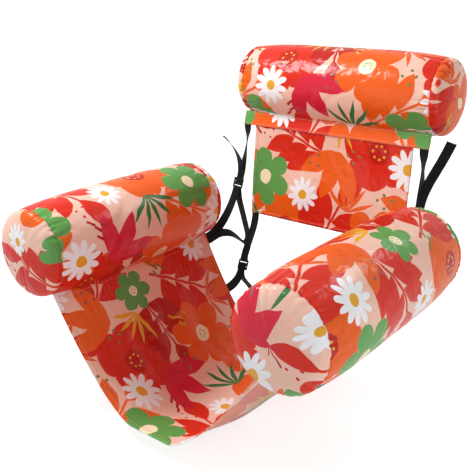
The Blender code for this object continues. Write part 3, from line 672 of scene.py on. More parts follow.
class Roll:
    """Sizes and directions of one air roll, read from the frame."""

    def __init__(self, name, ends, valve_end, seed):
        self.name, self.ends, self.valve_end, self.seed = name, ends, valve_end, seed
        low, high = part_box(f"{name}_sleeve")
        self.centre = (low + high) / 2
        size = high - low
        self.axis = 0 if name == "back_roll" else 1
        self.across = 1 - self.axis
        self.radius = size.z / 2
        self.half = size[self.axis] / 2
        disc_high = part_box(f"{name}_{ends[1]}_disc")[1]
        self.dome = disc_high[self.axis] - high[self.axis]
        self.creases = {-1: make_creases(seed), 1: make_creases(seed + 1)}
        self.dents = make_dents(seed)
        fold = Vector(joints[f"{name}_fold"]["pos_m"]) - self.centre
        self.seam_angle = math.atan2(fold.z, fold[self.across])

    def angles(self):
        """Angles round the roll, from the seam where its tube of cloth closes."""
        return self.seam_angle + np.arange(AROUND) * math.tau / AROUND

    def place(self, radius, angle, along):
        """Points from a radius, an angle and a distance along the roll."""
        points = np.zeros((*np.broadcast(radius, angle, along).shape, 3))
        points[..., self.axis] = self.centre[self.axis] + along
        points[..., self.across] = self.centre[self.across] + radius * np.cos(angle)
        points[..., 2] = self.centre.z + radius * np.sin(angle)
        return points

# %% [markdown]
# The sleeve is one rectangle of cloth, sewn into a tube that the bladder stretches. Its rings crowd
# together near the ends, where the creases are. Every skin of a roll is built alike: a rolled grid that
# faces outwards and gets its thickness on the inside, so the roll keeps the size that the frame gives.

# %% Sleeves
SLEEVE_RINGS = 120

def face_outwards(piece, centre):
    """Turns the faces so that they point away from a place."""
    with editing(piece.data) as bm:
        if sum(f.normal.dot(f.calc_center_median() - centre) * f.calc_area() for f in bm.faces) < 0:
            bmesh.ops.reverse_faces(bm, faces=bm.faces)

def roll_skin(roll, piece_name, node, points, cloth_places=None, cap_end=False,
              materials=CLOTH_FACES, thickness=CLOTH):
    """One skin of a roll, which is thick on its inner side."""
    piece = grid_object(f"{roll.name}_{piece_name}", points, materials, cloth_places, True, cap_end)
    face_outwards(piece, roll.centre)
    thicken(piece, thickness, -1)
    stand_for(piece, f"{roll.name}_{node}", roll.name)
    return piece

def sleeve_surface(roll, depth=0.0):
    """Places along the roll and the sleeve's points, or those of a skin that lies deeper."""
    share = np.linspace(-1, 1, SLEEVE_RINGS)
    along = roll.half * np.sin(share * math.pi / 2)
    angle, along_grid = np.meshgrid(roll.angles(), along)
    to_seam = roll.half - np.abs(along_grid)
    radius = roll.radius - SEAM_DIP * np.clip(1 - to_seam / SEAM_RUN, 0, 1) ** 2
    radius -= GROOVE * np.clip(1 - to_seam / GROOVE_RUN, 0, 1) ** 2
    for end in (-1, 1):
        near = np.where(np.sign(along_grid) == end, to_seam, 1.0)
        radius -= valley_depth(roll.creases[end], angle, near)
    radius -= dent_depth(roll, angle, along_grid) * soft_step(to_seam / HEM_WIDTH)
    return along, roll.place(radius - depth, angle, along_grid)

def sleeve_cloth(roll):
    along, points = sleeve_surface(roll)
    round_cloth = np.linspace(0, math.tau, AROUND + 1) * roll.radius
    x, y = CUT_AT["sleeve"]
    cloth_places = grid_of(round_cloth + roll.seed * x, along + roll.seed * y)
    piece = roll_skin(roll, "sleeve_cloth", "sleeve", points, cloth_places)

# %% [markdown]
# The end disc starts in the seam's groove, stands up steeply and then bows over to a nearly flat middle,
# as a filled bag does. Its curve is a power law fitted to that: steep at the rim, flat at the centre. The
# end that carries the valve keeps a hole for it.

# %% End discs
DISC_RINGS = 34
STEEPNESS, FULLNESS, DOMING = 2.5, 2.6, 0.875
VALVE_HOLE, CLOSED_HOLE = 0.0076, 0.0004
DISC_CREASE, RIM_POWER, DOME_CLOTH = 0.9, 6, 0.6

def disc_surface(roll, end, depth=0.0):
    """How far each ring's cloth reaches from the middle, and the disc's points."""
    rise = np.sin(np.linspace(0, 1, DISC_RINGS) * math.pi / 2)
    share = (1 - rise**STEEPNESS) ** (1 / FULLNESS)
    rim = roll.radius - SEAM_DIP
    hole = VALVE_HOLE if end == roll.valve_end else CLOSED_HOLE
    flat_radius = hole + (rim - hole) * share
    height = roll.dome * rise**DOMING
    angle, radius = np.meshgrid(roll.angles(), flat_radius)
    _, height_grid = np.meshgrid(roll.angles(), height)
    groove = GROOVE * (1 - soft_step(height_grid / GROOVE_RUN))
    inward = rim - radius + height_grid
    drawn = valley_depth(roll.creases[end], angle, inward * DISC_CREASE) + depth
    outwards = (radius / rim) ** RIM_POWER
    radius = radius - groove - drawn * outwards
    height_grid = height_grid - drawn * (1 - outwards)
    points = roll.place(radius, angle, end * (roll.half + height_grid))
    return flat_radius + height * DOME_CLOTH, points

def disc_cloth(roll, end, label):
    spread, points = disc_surface(roll, end)
    turn, reach = np.meshgrid([*roll.angles(), roll.angles()[0]], spread)
    x, y = CUT_AT["disc"]
    cloth_places = np.stack([reach * np.cos(turn) + roll.seed * x, reach * np.sin(turn) + end * y], axis=-1)
    piece = roll_skin(roll, f"{label}_end_cloth", f"{label}_disc", points, cloth_places,
                      cap_end=end != roll.valve_end)

# %% [markdown]
# Inside the cloth is the bladder that holds the air, a tube of clear film welded shut at both ends. It is
# pressed against the cloth everywhere, so it is the same surface a little deeper, with fewer points and the
# valve's hole at one end.

# %% Bladders
FILM, FILM_DEPTH = 0.0003, 0.0026

def film_bladder(roll, film):
    _, sleeve = sleeve_surface(roll, FILM_DEPTH)
    low, high = (disc_surface(roll, end, FILM_DEPTH)[1] for end in (-1, 1))
    rings = np.concatenate([low[::-2], sleeve[2:-2:2], high[1::2]])[:, ::2]
    if roll.valve_end == 1:
        rings = rings[::-1]
    piece = roll_skin(roll, "film_bladder", "chamber", rings, None, True, [film], FILM)

rolls = [
    Roll("left_arm", ("front", "back"), 1, 3),
    Roll("right_arm", ("front", "back"), 1, 7),
    Roll("back_roll", ("right", "left"), -1, 12),
]
for roll in rolls:
    sleeve_cloth(roll)
    for end, label in zip((-1, 1), roll.ends):
        disc_cloth(roll, end, label)
    print(roll.name, "radius", round(roll.radius, 4), "dome", round(roll.dome, 4))

# %% [markdown]
# ## The sling seat
#
# The seat is one sheet that hangs in a U between the arm rolls and lies flat on the floor in the middle.
# Its place comes from the frame: the arms' fold lines are its two sewn edges. The U's sides follow a
# power curve, fuller at the front. Where cloth hangs from a gathered seam it has soft folds that run
# down from it, so the sheet also gets waves that are strongest halfway down and vanish at the seams and
# on the floor. Their counts have no common measure, so no fold repeats. A simulation would find such
# folds too, but not keep the hems where the frame has them.

# %% Shape of the sling
seam = Vector(joints["left_arm_fold"]["pos_m"])
MIDDLE_Y = seam.y
SLING_LENGTH = 0.555
CAD_CLOTH = 0.002
SLING_DEPTH = seam.z - CAD_CLOTH / 2
FLAT_HALF = 0.055
FRONT_RISE, FRONT_RUN = 0.042, 0.220
FRONT_POWER, BACK_POWER, CORNER_POWER = 1.48, 1.70, 4
FOLD, SECOND_FOLD, SMALL_FOLD = 0.0035, 0.0030, 0.0011
FOLD_COUNT = 5
SECOND_ALONG, SECOND_ACROSS = 31, 7
SMALL_ALONG, SMALL_ACROSS, SMALL_SHIFT, SMALL_FADE = 67, 19, 2.0, 5
SEAM_ANGLE = math.radians(60)
GATHER_RUN, GATHER, GATHER_END = 0.34, 0.0017, 0.02
GATHER_ALONG, GATHER_SWAY, SWAY_ALONG, GATHER_SHIFT = 190, 2.1, 23, 5
TUCK = 0.0013

def sling_places(across, along):
    """Points of the sling. across is -1 to 1 between the arm seams, along is 0 at the front to 1."""
    out = across * seam.x
    side = np.clip((np.abs(out) - FLAT_HALF) / (seam.x - FLAT_HALF), 0, 1)
    y = (along - 0.5) * SLING_LENGTH
    rise = FRONT_RISE * (1 - soft_step(along * SLING_LENGTH / FRONT_RUN))
    power = FRONT_POWER + (BACK_POWER - FRONT_POWER) * along
    z = seam.z - (SLING_DEPTH - rise) * (1 - side**power)
    hang = np.sin(math.pi * soft_step(side)) * np.sin(math.pi * along)
    fold = FOLD * np.sin(math.tau * FOLD_COUNT * along) * hang
    fold = fold + SECOND_FOLD * np.sin(SECOND_ALONG * along + SECOND_ACROSS * across) * hang
    small = np.sin(SMALL_ALONG * along - SMALL_ACROSS * across + SMALL_SHIFT)
    fold = fold + SMALL_FOLD * small * np.sin(SMALL_FADE * across) * hang
    sway = GATHER_SWAY * np.sin(SWAY_ALONG * along) + GATHER_SHIFT * np.sign(across)
    gathers = np.sin(GATHER_ALONG * along + sway)
    gathers *= soft_step((side - 1 + GATHER_RUN) / GATHER_RUN) * soft_step((1 - side) / GATHER_END)
    fold = fold + GATHER * gathers * np.sin(math.pi * along)
    pull = np.clip(1 - (rolls[0].half - np.abs(y)) / SEAM_RUN, 0, 1.0) ** 2
    drawn = SEAM_DIP * pull * side**CORNER_POWER + TUCK * (np.abs(across) > 1)
    out = out + np.sign(across) * (drawn * math.cos(SEAM_ANGLE) - fold)
    z = z + drawn * math.sin(SEAM_ANGLE)
    return np.stack([out, MIDDLE_Y + y, z], axis=-1)

# %% [markdown]
# The hems at front and back are the same cloth folded over once. A vertex group tells Solidify how thick
# each row is, so the band is simply thicker, with a sharp step where the fold ends.

# %% Sling cloth
ACROSS_COUNT, ALONG_COUNT = 200, 110
HEM_STEP = 0.0006
CLOSE = 1e-6

def with_hems(length, hem, count, first=True):
    """Places along a length, with a pair of rows at each hem's inner edge."""
    start = [0.0, hem * 0.5, hem, hem + HEM_STEP] if first else [0.0]
    finish = [length - hem - HEM_STEP, length - hem, length - hem * 0.5, length]
    inner = np.linspace(start[-1], finish[0], count)[1:-1]
    return np.array([*start, *inner, *finish])

def hem_group(piece, is_hem):
    """Marks each vertex's share of a hem's thickness."""
    group = piece.vertex_groups.new(name="thickness")
    for part, share in ((False, CLOTH / (CLOTH + HEM_EXTRA)), (True, 1.0)):
        group.add([i for i, hem in enumerate(is_hem.ravel()) if hem == part], share, "REPLACE")
    thicken(piece, CLOTH + HEM_EXTRA, 0, group.name)

def hung_cloth(node, body, points, cloth_places, flat, is_hem=None):
    """A hanging sheet for a node, with hems where is_hem says so."""
    piece = grid_object(f"{node}_cloth", points, CLOTH_FACES, cloth_places)
    if is_hem is None:
        thicken(piece, CLOTH, 0)
    else:
        hem_group(piece, is_hem)
    stand_for(piece, node, body)
    print(node, "cut", [round(side, 3) for side in flat])

def run_lengths(points):
    """Distance travelled along a row of points."""
    steps = np.linalg.norm(np.diff(points, axis=0), axis=1)
    return np.concatenate([[0], np.cumsum(steps)])

def make_sling():
    across = np.array([-1.001, *np.linspace(-1, 1, ACROSS_COUNT + 1), 1.001])
    along = with_hems(SLING_LENGTH, HEM_WIDTH, ALONG_COUNT) / SLING_LENGTH
    across_grid, along_grid = np.meshgrid(across, along)
    points = sling_places(across_grid, along_grid)
    lift = CLOTH / 2 + HEM_EXTRA
    points[..., 2] += np.where(points[..., 2] < CAD_CLOTH * 2, lift - CAD_CLOTH / 2, 0)
    travelled = run_lengths(points[len(along) // 2])
    width = float(travelled[-1])
    x, y = CUT_AT["sling"]
    cloth_places = grid_of(travelled - width / 2 + x, along * SLING_LENGTH + y)
    hem = HEM_WIDTH / SLING_LENGTH + CLOSE
    hung_cloth("seat_sling", "seat", points, cloth_places,
               (round(width, 3), SLING_LENGTH + 2 * HEM_WIDTH),
               (along_grid <= hem) | (along_grid >= 1 - hem))

make_sling()

# %% [markdown]
# ## The skirt and the back panel
#
# A strip of cloth is sewn along the back roll. The panel that the sitter leans on is lapped behind it and
# hangs down, with its bottom corners tied to the seat. It keeps soft creases across, from where it was
# folded in its bag, and finer ripples down from the stitched lap. Columns run from the left side to the
# right, so that the printed face looks forwards.

# %% Skirt and panel cloth
roll_seam = Vector(joints["back_roll_fold"]["pos_m"])
SKIRT_HALF, SKIRT_HEIGHT, SKIRT_LEAN, SKIRT_RIPPLE = 0.291, 0.038, 0.012, 0.0006
PANEL_HALF, PANEL_HEIGHT, PANEL_LEAN = 0.249, 0.262, 0.018
PANEL_CREASE, PANEL_RIPPLE, PANEL_DRAG = 0.0040, 0.0013, 0.0016
SKIRT_WAVES, SKIRT_SWAY, SWAY_WAVES = 150, 4, 31
CREASE_EASE, RIPPLE_WAVES, RIPPLE_SLANT, RIPPLE_FADE = 0.5, 58, 3, 2.2
DRAG_WAVES, DRAG_SLANT = 26, 0.7
SKIRT_GRID, PANEL_GRID = (160, 12), (130, 76)
LAP = 0.008
PANEL_HEM = 0.010
GAP = 0.0003

def skirt_places(out, down):
    """Points of the skirt. down is 0 at the roll's seam, and below 0 where it is tucked into it."""
    waves = np.sin(SKIRT_WAVES * out + SKIRT_SWAY * np.sin(SWAY_WAVES * out))
    ripple = SKIRT_RIPPLE * waves * np.sin(math.pi * np.clip(down, 0, 1))
    tucked = np.where(down < 0, TUCK / 2, 0)
    return np.stack([out, roll_seam.y - SKIRT_LEAN * down + ripple + tucked,
                     roll_seam.z - SKIRT_HEIGHT * down + tucked], axis=-1)

def panel_places(out, down):
    """Points of the panel. down is below 0 in the lap behind the skirt and 1 at the bottom edge."""
    run = Vector((0, -SKIRT_LEAN, -SKIRT_HEIGHT)).normalized()
    behind = Vector((0, SKIRT_HEIGHT, -SKIRT_LEAN)).normalized() * (CAD_CLOTH + GAP)
    start = Vector((0, roll_seam.y - SKIRT_LEAN, roll_seam.z - SKIRT_HEIGHT)) + behind
    hung = np.clip(down, 0, 1)
    lapped = np.clip(-down, 0, 1) * PANEL_HEIGHT
    belly = np.sin(math.pi * hung)
    crease = PANEL_CREASE * np.sin(math.tau * hung) * (1 - CREASE_EASE * (out / PANEL_HALF) ** 2)
    waves = np.sin(RIPPLE_WAVES * out + RIPPLE_SLANT * hung)
    ripple = PANEL_RIPPLE * waves * belly * np.exp(-RIPPLE_FADE * hung)
    slant = np.abs(out) - DRAG_SLANT * PANEL_HEIGHT * hung
    drag = PANEL_DRAG * np.sin(DRAG_WAVES * slant) * belly
    y = start.y - PANEL_LEAN * hung + crease + ripple + drag - run.y * lapped
    z = start.z - PANEL_HEIGHT * hung - run.z * lapped
    return np.stack([out, y, z], axis=-1)

def make_skirt():
    out = np.linspace(SKIRT_HALF, -SKIRT_HALF, SKIRT_GRID[0])
    down = np.array([-0.01, *np.linspace(0, 1, SKIRT_GRID[1])])
    x, y = CUT_AT["skirt"]
    hung_cloth("back_roll_skirt", "backrest", skirt_places(*np.meshgrid(out, down)),
               grid_of(out + x, y - down * SKIRT_HEIGHT), (2 * SKIRT_HALF, SKIRT_HEIGHT))

def make_panel():
    out = PANEL_HALF - with_hems(2 * PANEL_HALF, PANEL_HEM, PANEL_GRID[0])
    down = with_hems(PANEL_HEIGHT + LAP, PANEL_HEM, PANEL_GRID[1], first=False) - LAP
    down /= PANEL_HEIGHT
    out_grid, down_grid = np.meshgrid(out, down)
    side_hem = np.abs(out_grid) >= PANEL_HALF - PANEL_HEM - CLOSE
    low_hem = down_grid >= 1 - PANEL_HEM / PANEL_HEIGHT - CLOSE
    x, y = CUT_AT["panel"]
    hung_cloth("back_panel", "backrest", panel_places(out_grid, down_grid),
               grid_of(out + x, y - down * PANEL_HEIGHT),
               (2 * (PANEL_HALF + PANEL_HEM), PANEL_HEIGHT + LAP + PANEL_HEM),
               side_hem | low_hem)

make_skirt()
make_panel()

# %% [markdown]
# ## Straps
#
# The straps are 25 mm polypropylene webbing. The frame already has them as flat ribbons with four corners
# at each ring, threaded through their locks. Walking over such a mesh from its end cap, ring by ring, gives
# back the line that the strap follows and the way its width points, so no route is typed twice. A corner
# of a ring has a neighbour exactly one width away, and any other point is first merged into such a corner.

# %% Reading a strap's route
WEB_WIDTH, WEB = 0.025, 0.0013
ALIKE, CAP_ALIKE, THICK_ALIKE = 0.001, 0.002, 0.03

def is_cap(face):
    """A triangle of an end cap: one side as long as the webbing is wide, one as long as it is thick."""
    thick, wide = sorted(edge.calc_length() for edge in face.edges)[:2]
    return abs(thick - WEB) < WEB * THICK_ALIKE and abs(wide - WEB_WIDTH) < WEB_WIDTH * CAP_ALIKE

def strap_rings(node):
    """The corners of each ring of a strap of the frame, from one end to the other. A set has no fixed
    order, so the corners are sorted by place, and every run gives the same straps."""
    bm = bmesh.new()
    bm.from_mesh(frame["nodes"][node].data)
    bmesh.ops.remove_doubles(bm, verts=bm.verts, dist=WEB / 50)
    bmesh.ops.triangulate(bm, faces=bm.faces)
    across_edges = [e for e in bm.edges if abs(e.calc_length() - WEB_WIDTH) < WEB_WIDTH * ALIKE]
    corners = {v for edge in across_edges for v in edge.verts}
    merged = {}
    for v in set(bm.verts) - corners:
        beside = [edge.other_vert(v) for edge in v.link_edges]
        merged[v] = min((b for b in beside if b in corners), key=lambda b: (b.co - v.co).length)
    bmesh.ops.weld_verts(bm, targetmap=merged)
    caps = [face for face in bm.faces if is_cap(face)]
    ring = set(caps[0].verts)
    ring |= {v for face in caps for v in face.verts if len(ring & set(face.verts)) == 2}
    rings, seen = [], set()
    while ring:
        rings.append(sorted((v.co.copy() for v in ring), key=tuple))
        seen |= ring
        ring = {edge.other_vert(v) for v in ring for edge in v.link_edges} - seen
    bm.free()
    return rings

def strap_route(node):
    """Middle points and width directions along a strap."""
    rings = strap_rings(node)
    route = []
    for corners in rings:
        near = min(corners[1:], key=lambda co: (co - corners[0]).length)
        others = [co for co in corners[1:] if co is not near]
        one, other = (corners[0] + near) / 2, (others[0] + others[-1]) / 2
        across = (one - other).normalized()
        if route and across.dot(route[-1][1]) < 0:
            across = -across
        route.append(((one + other) / 2, across))
    print(node, "rings", len(rings), "corners", {len(ring) for ring in rings})
    return route

# %% [markdown]
# Real webbing is softer than those flat ribbons: its run is a smooth curve, and its edges are round, with a
# slightly thicker selvedge. A Catmull-Rom curve passes through the same places, and the profile has rounded
# sides. The cloth coordinates run along the strap in metres, for the weave.

# %% Woven straps
STRAP_STEPS = 3
ROUND_EDGE = 0.0011
SELVEDGE, MIDDLE_WEB = 0.8, (0.86, 0.84)

def smooth_route(route):
    """Catmull-Rom through the route's places, with the width turned evenly between them."""
    places = [place for place, _ in route]
    padded = [2 * places[0] - places[1], *places, 2 * places[-1] - places[-2]]
    result = [route[0]]
    for i, (a, b, c, d) in enumerate(zip(padded, padded[1:], padded[2:], padded[3:])):
        for k in range(1, STRAP_STEPS + 1):
            t = k / STRAP_STEPS
            bend = (2 * a - 5 * b + 4 * c - d) * t**2 + (3 * b - a - 3 * c + d) * t**3
            place = (2 * b + (c - a) * t + bend) / 2
            result.append((place, route[i][1].lerp(route[i + 1][1], t).normalized()))
    return result

def strap_profile():
    """Half-round edges and a flat middle, as (across, thickness) pairs round the strap."""
    half, thick = WEB_WIDTH / 2, WEB / 2
    top = [(half - ROUND_EDGE, thick), (half - ROUND_EDGE * 1.8, thick * SELVEDGE),
           (half * 0.45, thick * MIDDLE_WEB[0]), (0, thick * MIDDLE_WEB[1])]
    top += [(-x, z) for x, z in reversed(top[:3])]
    turns = [math.radians(degrees) for degrees in (-55, -18, 18, 55)]
    round_end = [(half - ROUND_EDGE + ROUND_EDGE * math.cos(a), thick * math.sin(a)) for a in turns]
    upper = round_end + top
    return upper + [(-x, -z) for x, z in upper]

def strap_mesh(name, route, webbing):
    """A woven strap along a route, and its length."""
    route = smooth_route(route)
    profile = strap_profile()
    places = [place for place, _ in route]
    travelled = run_lengths(np.array(places))
    rows = []
    for i, (place, across) in enumerate(route):
        tangent = (places[min(i + 1, len(places) - 1)] - places[max(i - 1, 0)]).normalized()
        across = (across - across.dot(tangent) * tangent).normalized()
        normal = tangent.cross(across)
        rows.append([tuple(place + across * x + normal * z) for x, z in profile])
    widths = [x for x, _ in profile] + [profile[0][0]]
    piece = grid_object(name, np.array(rows), [webbing], grid_of(widths, travelled), True, True)
    with editing(piece.data) as bm:
        bm.verts.ensure_lookup_table()
        bm.faces.new([bm.verts[i] for i in reversed(range(len(profile)))])
        bmesh.ops.recalc_face_normals(bm, faces=bm.faces)
    return piece, travelled[-1]

# %% [markdown]
# The weave of webbing is a herringbone of thick yarns. Seen close it is rows of slanting ridges, which
# change their slant from rib to rib across the width. That is a triangle wave across, added to the distance
# along before a sine. Black yarn is dull, with a faint sheen at grazing angles. The colour is painted a
# little greyer on the crowns of the ridges, a painted highlight, and stays black in the grooves.

# %% Webbing material
YARN_PITCH, RIB = 0.0022, 0.0050
FUZZ_SCALE, FUZZ = 900.0, 0.3
# the grey is a painted highlight on the crowns of the ridges, and the black is the yarn's own colour
YARN_BLACK, RIDGE_PAINTED_HIGHLIGHT = (0.003, 0.003, 0.004, 1), (0.011, 0.011, 0.013, 1)

def webbing_material():
    material, tree = new_material("black_webbing")
    strap = add_node(tree, "UVMap", uv_map="cloth").outputs[0]
    x, y = split(tree, strap)
    slant = compute(tree, "PINGPONG", x, RIB)
    along = compute(tree, "MULTIPLY", compute(tree, "ADD", y, slant), math.tau / YARN_PITCH)
    ridge = compute(tree, "MULTIPLY_ADD", compute(tree, "SINE", along), 0.5, 0.5)
    height = compute(tree, "MULTIPLY_ADD", noise(tree, strap, FUZZ_SCALE)[0], FUZZ, ridge)
    # the base colour goes from black to the grey of the painted highlight as the ridges rise
    set_surface(tree, add_node(tree, "BsdfPrincipled", {
        "Base Color": mix_colour(tree, ridge, YARN_BLACK, RIDGE_PAINTED_HIGHLIGHT), "Roughness": 0.62,
        "Normal": bump(tree, height, 0.7, 0.0003),
        "Specular IOR Level": 0.1, "Sheen Weight": 0.03, "Sheen Roughness": 0.4}))
    return material

# %% [markdown]
# The upper loop and the lower webbing are sewn to the seat and end in a lock on the back, so they cross the
# line that the back reclines about. They stay where they are, on neither body, and the other straps ride on
# the back.

# %% Make the straps
BLEND_BEFORE = {"upper_loop": 0.05, "lower_webbing": 0.03}
webbing = webbing_material()
strap_routes = {}

for side in ("left", "right"):
    for part in ("upper_strap", "lower_strap", "upper_loop", "lower_webbing"):
        node = f"{side}_{part}"
        strap_routes[node] = strap_route(node)
        piece, run = strap_mesh(f"{node}_woven", strap_routes[node], webbing)
        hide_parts(node)
        if part in BLEND_BEFORE:
            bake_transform(piece)
        else:
            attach(piece, "backrest")
        print(node, "is", round(run * 1000), "mm long")

# %% [markdown]
# ## Locks and valves
#
# The ladder locks are moulded nylon, and the frame's own meshes have their true shape, so they only need
# a finish: black, with a fine spark-eroded grain from the mould. The bladders' clear film gets a plainer
# finish of the same kind, and they can be made now.

# %% Plastic and film
GRAIN_DEPTH, GRAIN_WEAR = 0.0003, 0.15
TONE_SCALE, PALER = 40.0, 1.35
NYLON_BLACK = (0.008, 0.008, 0.009, 1)

def moulded_material(name, colour, roughness, grain_scale, grain, coat=0.0, specular=0.5):
    material, tree = new_material(name)
    place = add_node(tree, "TexCoord").outputs["Object"]
    grains = noise(tree, place, grain_scale, 3.0)[0]
    pale = tuple(min(1.0, channel * PALER) for channel in colour[:3]) + (1.0,)
    set_surface(tree, add_node(tree, "BsdfPrincipled", {
        "Base Color": mix_colour(tree, noise(tree, place, TONE_SCALE)[0], colour, pale),
        "Roughness": compute(tree, "MULTIPLY_ADD", grains, GRAIN_WEAR, roughness),
        "Normal": bump(tree, grains, grain, GRAIN_DEPTH),
        "Coat Weight": coat, "Specular IOR Level": specular}))
    return material

lock_plastic = moulded_material("black_nylon", NYLON_BLACK, 0.36, 1400.0, 0.35, specular=0.2)
bladder_film = moulded_material("clear_film", srgb(214, 222, 228), 0.22, 60.0, 0.25, 0.4)

for node, piece in frame["nodes"].items():
    if node.endswith("_buckle"):
        piece.data.materials.clear()
        piece.data.materials.append(lock_plastic)

for roll in rolls:
    film_bladder(roll, bladder_film)

# %% [markdown]
# A valve and its plug are soft white vinyl, turned shapes with a ring and a pull tab. The frame's are
# turned with few sides, so rounder ones replace them. bmesh's spin could turn a profile, but rings from the
# rolls' own helper stand at the right place at once, and one side of a ring can be raised for the tab.

# %% Valves and plugs
TURNED = 56
VALVE_PROFILE = [
    (0.0045, -0.0105), (0.0068, -0.0105), (0.0070, -0.0100), (0.0070, 0.0003), (0.0104, 0.0003),
    (0.0110, 0.0007), (0.0110, 0.0014), (0.0106, 0.0018), (0.0080, 0.0018), (0.0077, 0.0014),
    (0.0062, 0.0014), (0.0059, 0.0018), (0.0048, 0.0018), (0.0045, 0.0015),
]
PLUG_PROFILE = [
    (0.0001, -0.0029), (0.0030, -0.0029), (0.0034, -0.0025), (0.0041, 0.0021), (0.0096, 0.0021),
    (0.0100, 0.0025), (0.0100, 0.0036), (0.0096, 0.0041), (0.0060, 0.0041), (0.0056, 0.0037),
    (0.0040, 0.0037), (0.0036, 0.0041), (0.0001, 0.0041),
]
TAB_RADIUS, TAB_HALF_ANGLE, TAB_TOP = 0.0096, 0.5, 0.0125
SAME_POINT = 0.00002
SHARP = math.radians(50)
valve_vinyl = moulded_material("white_vinyl", srgb(226, 228, 224), 0.38, 300.0, 0.10)

def turned_piece(name, node, body, roll, profile, is_plug):
    """A profile of (radius, height) pairs turned round the roll's axis on its valve end. A plug is
    solid and has a tab, and a valve's profile closes on itself round the bore."""
    angle = np.arange(TURNED) * math.tau / TURNED
    face = roll.half + roll.dome
    rings = []
    for radius, height in profile:
        ring = roll.place(radius, angle, roll.valve_end * (face + height))
        if is_plug and radius >= TAB_RADIUS:
            near_top = np.abs(angle - math.pi / 2) < TAB_HALF_ANGLE
            ring[near_top, 2] = np.maximum(ring[near_top, 2], roll.centre.z + TAB_TOP)
        rings.append(ring)
    if not is_plug:
        rings.append(rings[0])
    piece = grid_object(name, np.array(rings), [valve_vinyl], rolled=True)
    with editing(piece.data) as bm:
        bmesh.ops.remove_doubles(bm, verts=bm.verts, dist=SAME_POINT)
        if is_plug:
            bmesh.ops.holes_fill(bm, edges=[edge for edge in bm.edges if edge.is_boundary])
        bmesh.ops.recalc_face_normals(bm, faces=bm.faces)
    piece.data.set_sharp_from_angle(angle=SHARP)
    stand_for(piece, node, body)

for roll in rolls:
    name = roll.name
    turned_piece(f"{name}_valve_ring", f"{name}_valve", name, roll, VALVE_PROFILE, False)
    turned_piece(f"{name}_valve_plug", f"{name}_plug", f"{name}_plug", roll, PLUG_PROFILE, True)

# %% [markdown]
# ## Thread
#
# Every hem and lap is held by a row of lockstitches. Each stitch is a short rod of thread that stands
# proud of the cloth and dips in at both ends. A row samples its cloth's surface where the stitches go, so
# the thread follows each fold.

# %% Rows of stitches
STITCH, STITCH_GAP, THREAD = 0.0036, 0.0010, 0.00040
STITCH_BOW = ((0, -1), (0.25, 0.5), (0.5, 0.8), (0.75, 0.5), (1, -1))
THREAD_SIDES = 5
STEP = 1e-4
thread = moulded_material("pink_thread", srgb(238, 176, 160), 0.5, 2600.0, 0.5)

def stitch(bm, centres, normal):
    """One rod of thread that bows away from the cloth between its ends."""
    side = (centres[-1] - centres[0]).normalized().cross(normal).normalized()
    rings = []
    for centre, (_, bow) in zip(centres, STITCH_BOW):
        middle = centre + normal * THREAD * bow
        rings.append([bm.verts.new(middle + (side * math.cos(a) + normal * math.sin(a)) * THREAD)
                      for a in (math.tau * k / THREAD_SIDES for k in range(THREAD_SIDES))])
    for near, far in zip(rings, rings[1:]):
        for k in range(THREAD_SIDES):
            after = (k + 1) % THREAD_SIDES
            bm.faces.new((near[k], near[after], far[after], far[k]))
    bm.faces.new(rings[0][::-1])
    bm.faces.new(rings[-1])

def stitch_row(name, body, path, normals, material=thread):
    """Stitches along a path of points, on the side that the normals point to."""
    travelled = run_lengths(path)
    mesh = bpy.data.meshes.new(name)
    with editing(mesh) as bm:
        for i in range(int(travelled[-1] // (STITCH + STITCH_GAP))):
            start = i * (STITCH + STITCH_GAP) + STITCH_GAP / 2
            at = [start + STITCH * share for share, _ in STITCH_BOW]
            centres = [Vector([np.interp(s, travelled, path[:, k]) for k in range(3)]) for s in at]
            normal = Vector([np.interp(at[2], travelled, normals[:, k]) for k in range(3)])
            stitch(bm, centres, normal.normalized())
        bmesh.ops.recalc_face_normals(bm, faces=bm.faces)
    mesh.shade_smooth()
    mesh.materials.append(material)
    row = new_object(name, mesh)
    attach(row, body)

def unit(vectors):
    return vectors / np.linalg.norm(vectors, axis=1)[:, None]

def sew(name, body, places, first, second, thickness, side=1):
    """A row on one face of a cloth, where places gives the cloth's points from two numbers."""
    first, second = np.broadcast_arrays(first, second)
    path = places(first, second)
    outwards = np.cross(places(first + STEP, second) - path, places(first, second + STEP) - path)
    normals = unit(outwards * side)
    stitch_row(f"{name}_thread", body, path + normals * thickness / 2, normals)

# %% [markdown]
# The sling has a row beside each arm's seam and one in each hem. The panel's three hems are sewn from the
# printed face, and the skirt is sewn to the roll and, with two rows, to the panel's lap.

# %% Sewn seams and hems
SEAM_STITCH = 0.0045
HEM_ROW, PANEL_HEM_ROW = 0.8, 0.75

def sling_stitches():
    along = np.linspace(0.01, 0.99, 300)
    across = np.linspace(-0.995, 0.995, 400)
    beside = 1 - SEAM_STITCH / seam.x
    front = HEM_ROW * HEM_WIDTH / SLING_LENGTH
    for label, first, second, hem in (
            ("left_seam", beside, along, 0), ("right_seam", -beside, along, 0),
            ("front_hem", across, front, HEM_EXTRA), ("back_hem", across, 1 - front, HEM_EXTRA)):
        sew(f"sling_{label}", "seat", sling_places, first, second, CLOTH + hem)

def panel_stitches():
    inset = PANEL_HALF - PANEL_HEM * PANEL_HEM_ROW
    out = np.linspace(-inset, inset, 300)
    down = np.linspace(0.01, 1 - PANEL_HEM_ROW * PANEL_HEM / PANEL_HEIGHT, 200)
    for label, first, second in (("low", out, down[-1]), ("left", inset, down), ("right", -inset, down)):
        sew(f"panel_{label}_hem", "backrest", panel_places, first, second, CLOTH + HEM_EXTRA, -1)

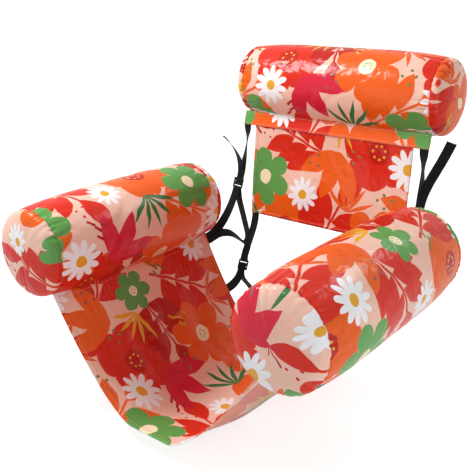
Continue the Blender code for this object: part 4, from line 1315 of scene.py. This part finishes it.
def skirt_stitches():
    out = np.linspace(-SKIRT_HALF + 0.004, SKIRT_HALF - 0.004, 300)
    rows = {"seam": SEAM_STITCH, "upper": SKIRT_HEIGHT - 0.75 * LAP, "lower": SKIRT_HEIGHT - 0.25 * LAP}
    for label, height in rows.items():
        path = skirt_places(out, np.full_like(out, height / SKIRT_HEIGHT))
        normals = unit(np.tile([0.0, -SKIRT_HEIGHT, SKIRT_LEAN], (len(out), 1)))
        stitch_row(f"skirt_{label}_thread", "backrest", path + normals * CLOTH / 2, normals)

sling_stitches()
panel_stitches()
skirt_stitches()

# %% [markdown]
# A strap that takes a sitter's weight is sewn down with a box and a cross. The sewn ends are the straight
# pieces 22 mm long at the ends of the routes, and the thread lies on the side that faces away from the seat.

# %% Box stitches
SEWN, SEWN_ALIKE, SEWN_INSET = 0.0225, 0.0012, 0.0032
SIDE_STEPS = 8
SEAT_MIDDLE = Vector((0, MIDDLE_Y, 0.4))
black_thread = moulded_material("black_thread", (0.02, 0.02, 0.022, 1), 0.6, 2600.0, 0.5, specular=0.2)

def box_stitches():
    for node, route in strap_routes.items():
        for end, (near, far) in enumerate(((route[0], route[1]), (route[-1], route[-2]))):
            run = far[0] - near[0]
            if abs(run.length - SEWN) > SEWN_ALIKE:
                continue
            along, across = run.normalized(), near[1]
            normal = along.cross(across).normalized()
            normal = normal if normal.dot(near[0] - SEAT_MIDDLE) > 0 else -normal
            low = near[0] + along * SEWN_INSET
            high = far[0] - along * SEWN_INSET / 2
            side = across * (WEB_WIDTH / 2 - SEWN_INSET)
            a, b, c, d = low - side, high - side, high + side, low + side
            corners = [a, b, c, d, a, c, b, d]
            path = [p.lerp(q, i / SIDE_STEPS)
                    for p, q in zip(corners, corners[1:]) for i in range(SIDE_STEPS)]
            path = np.array([tuple(place + normal * WEB / 2) for place in [*path, corners[-1]]])
            body = "seat" if "loop" in node or "webbing" in node else "backrest"
            stitch_row(f"{node}_{end}_box_thread", body, path, np.tile(tuple(normal), (len(path), 1)),
                       black_thread)

box_stitches()
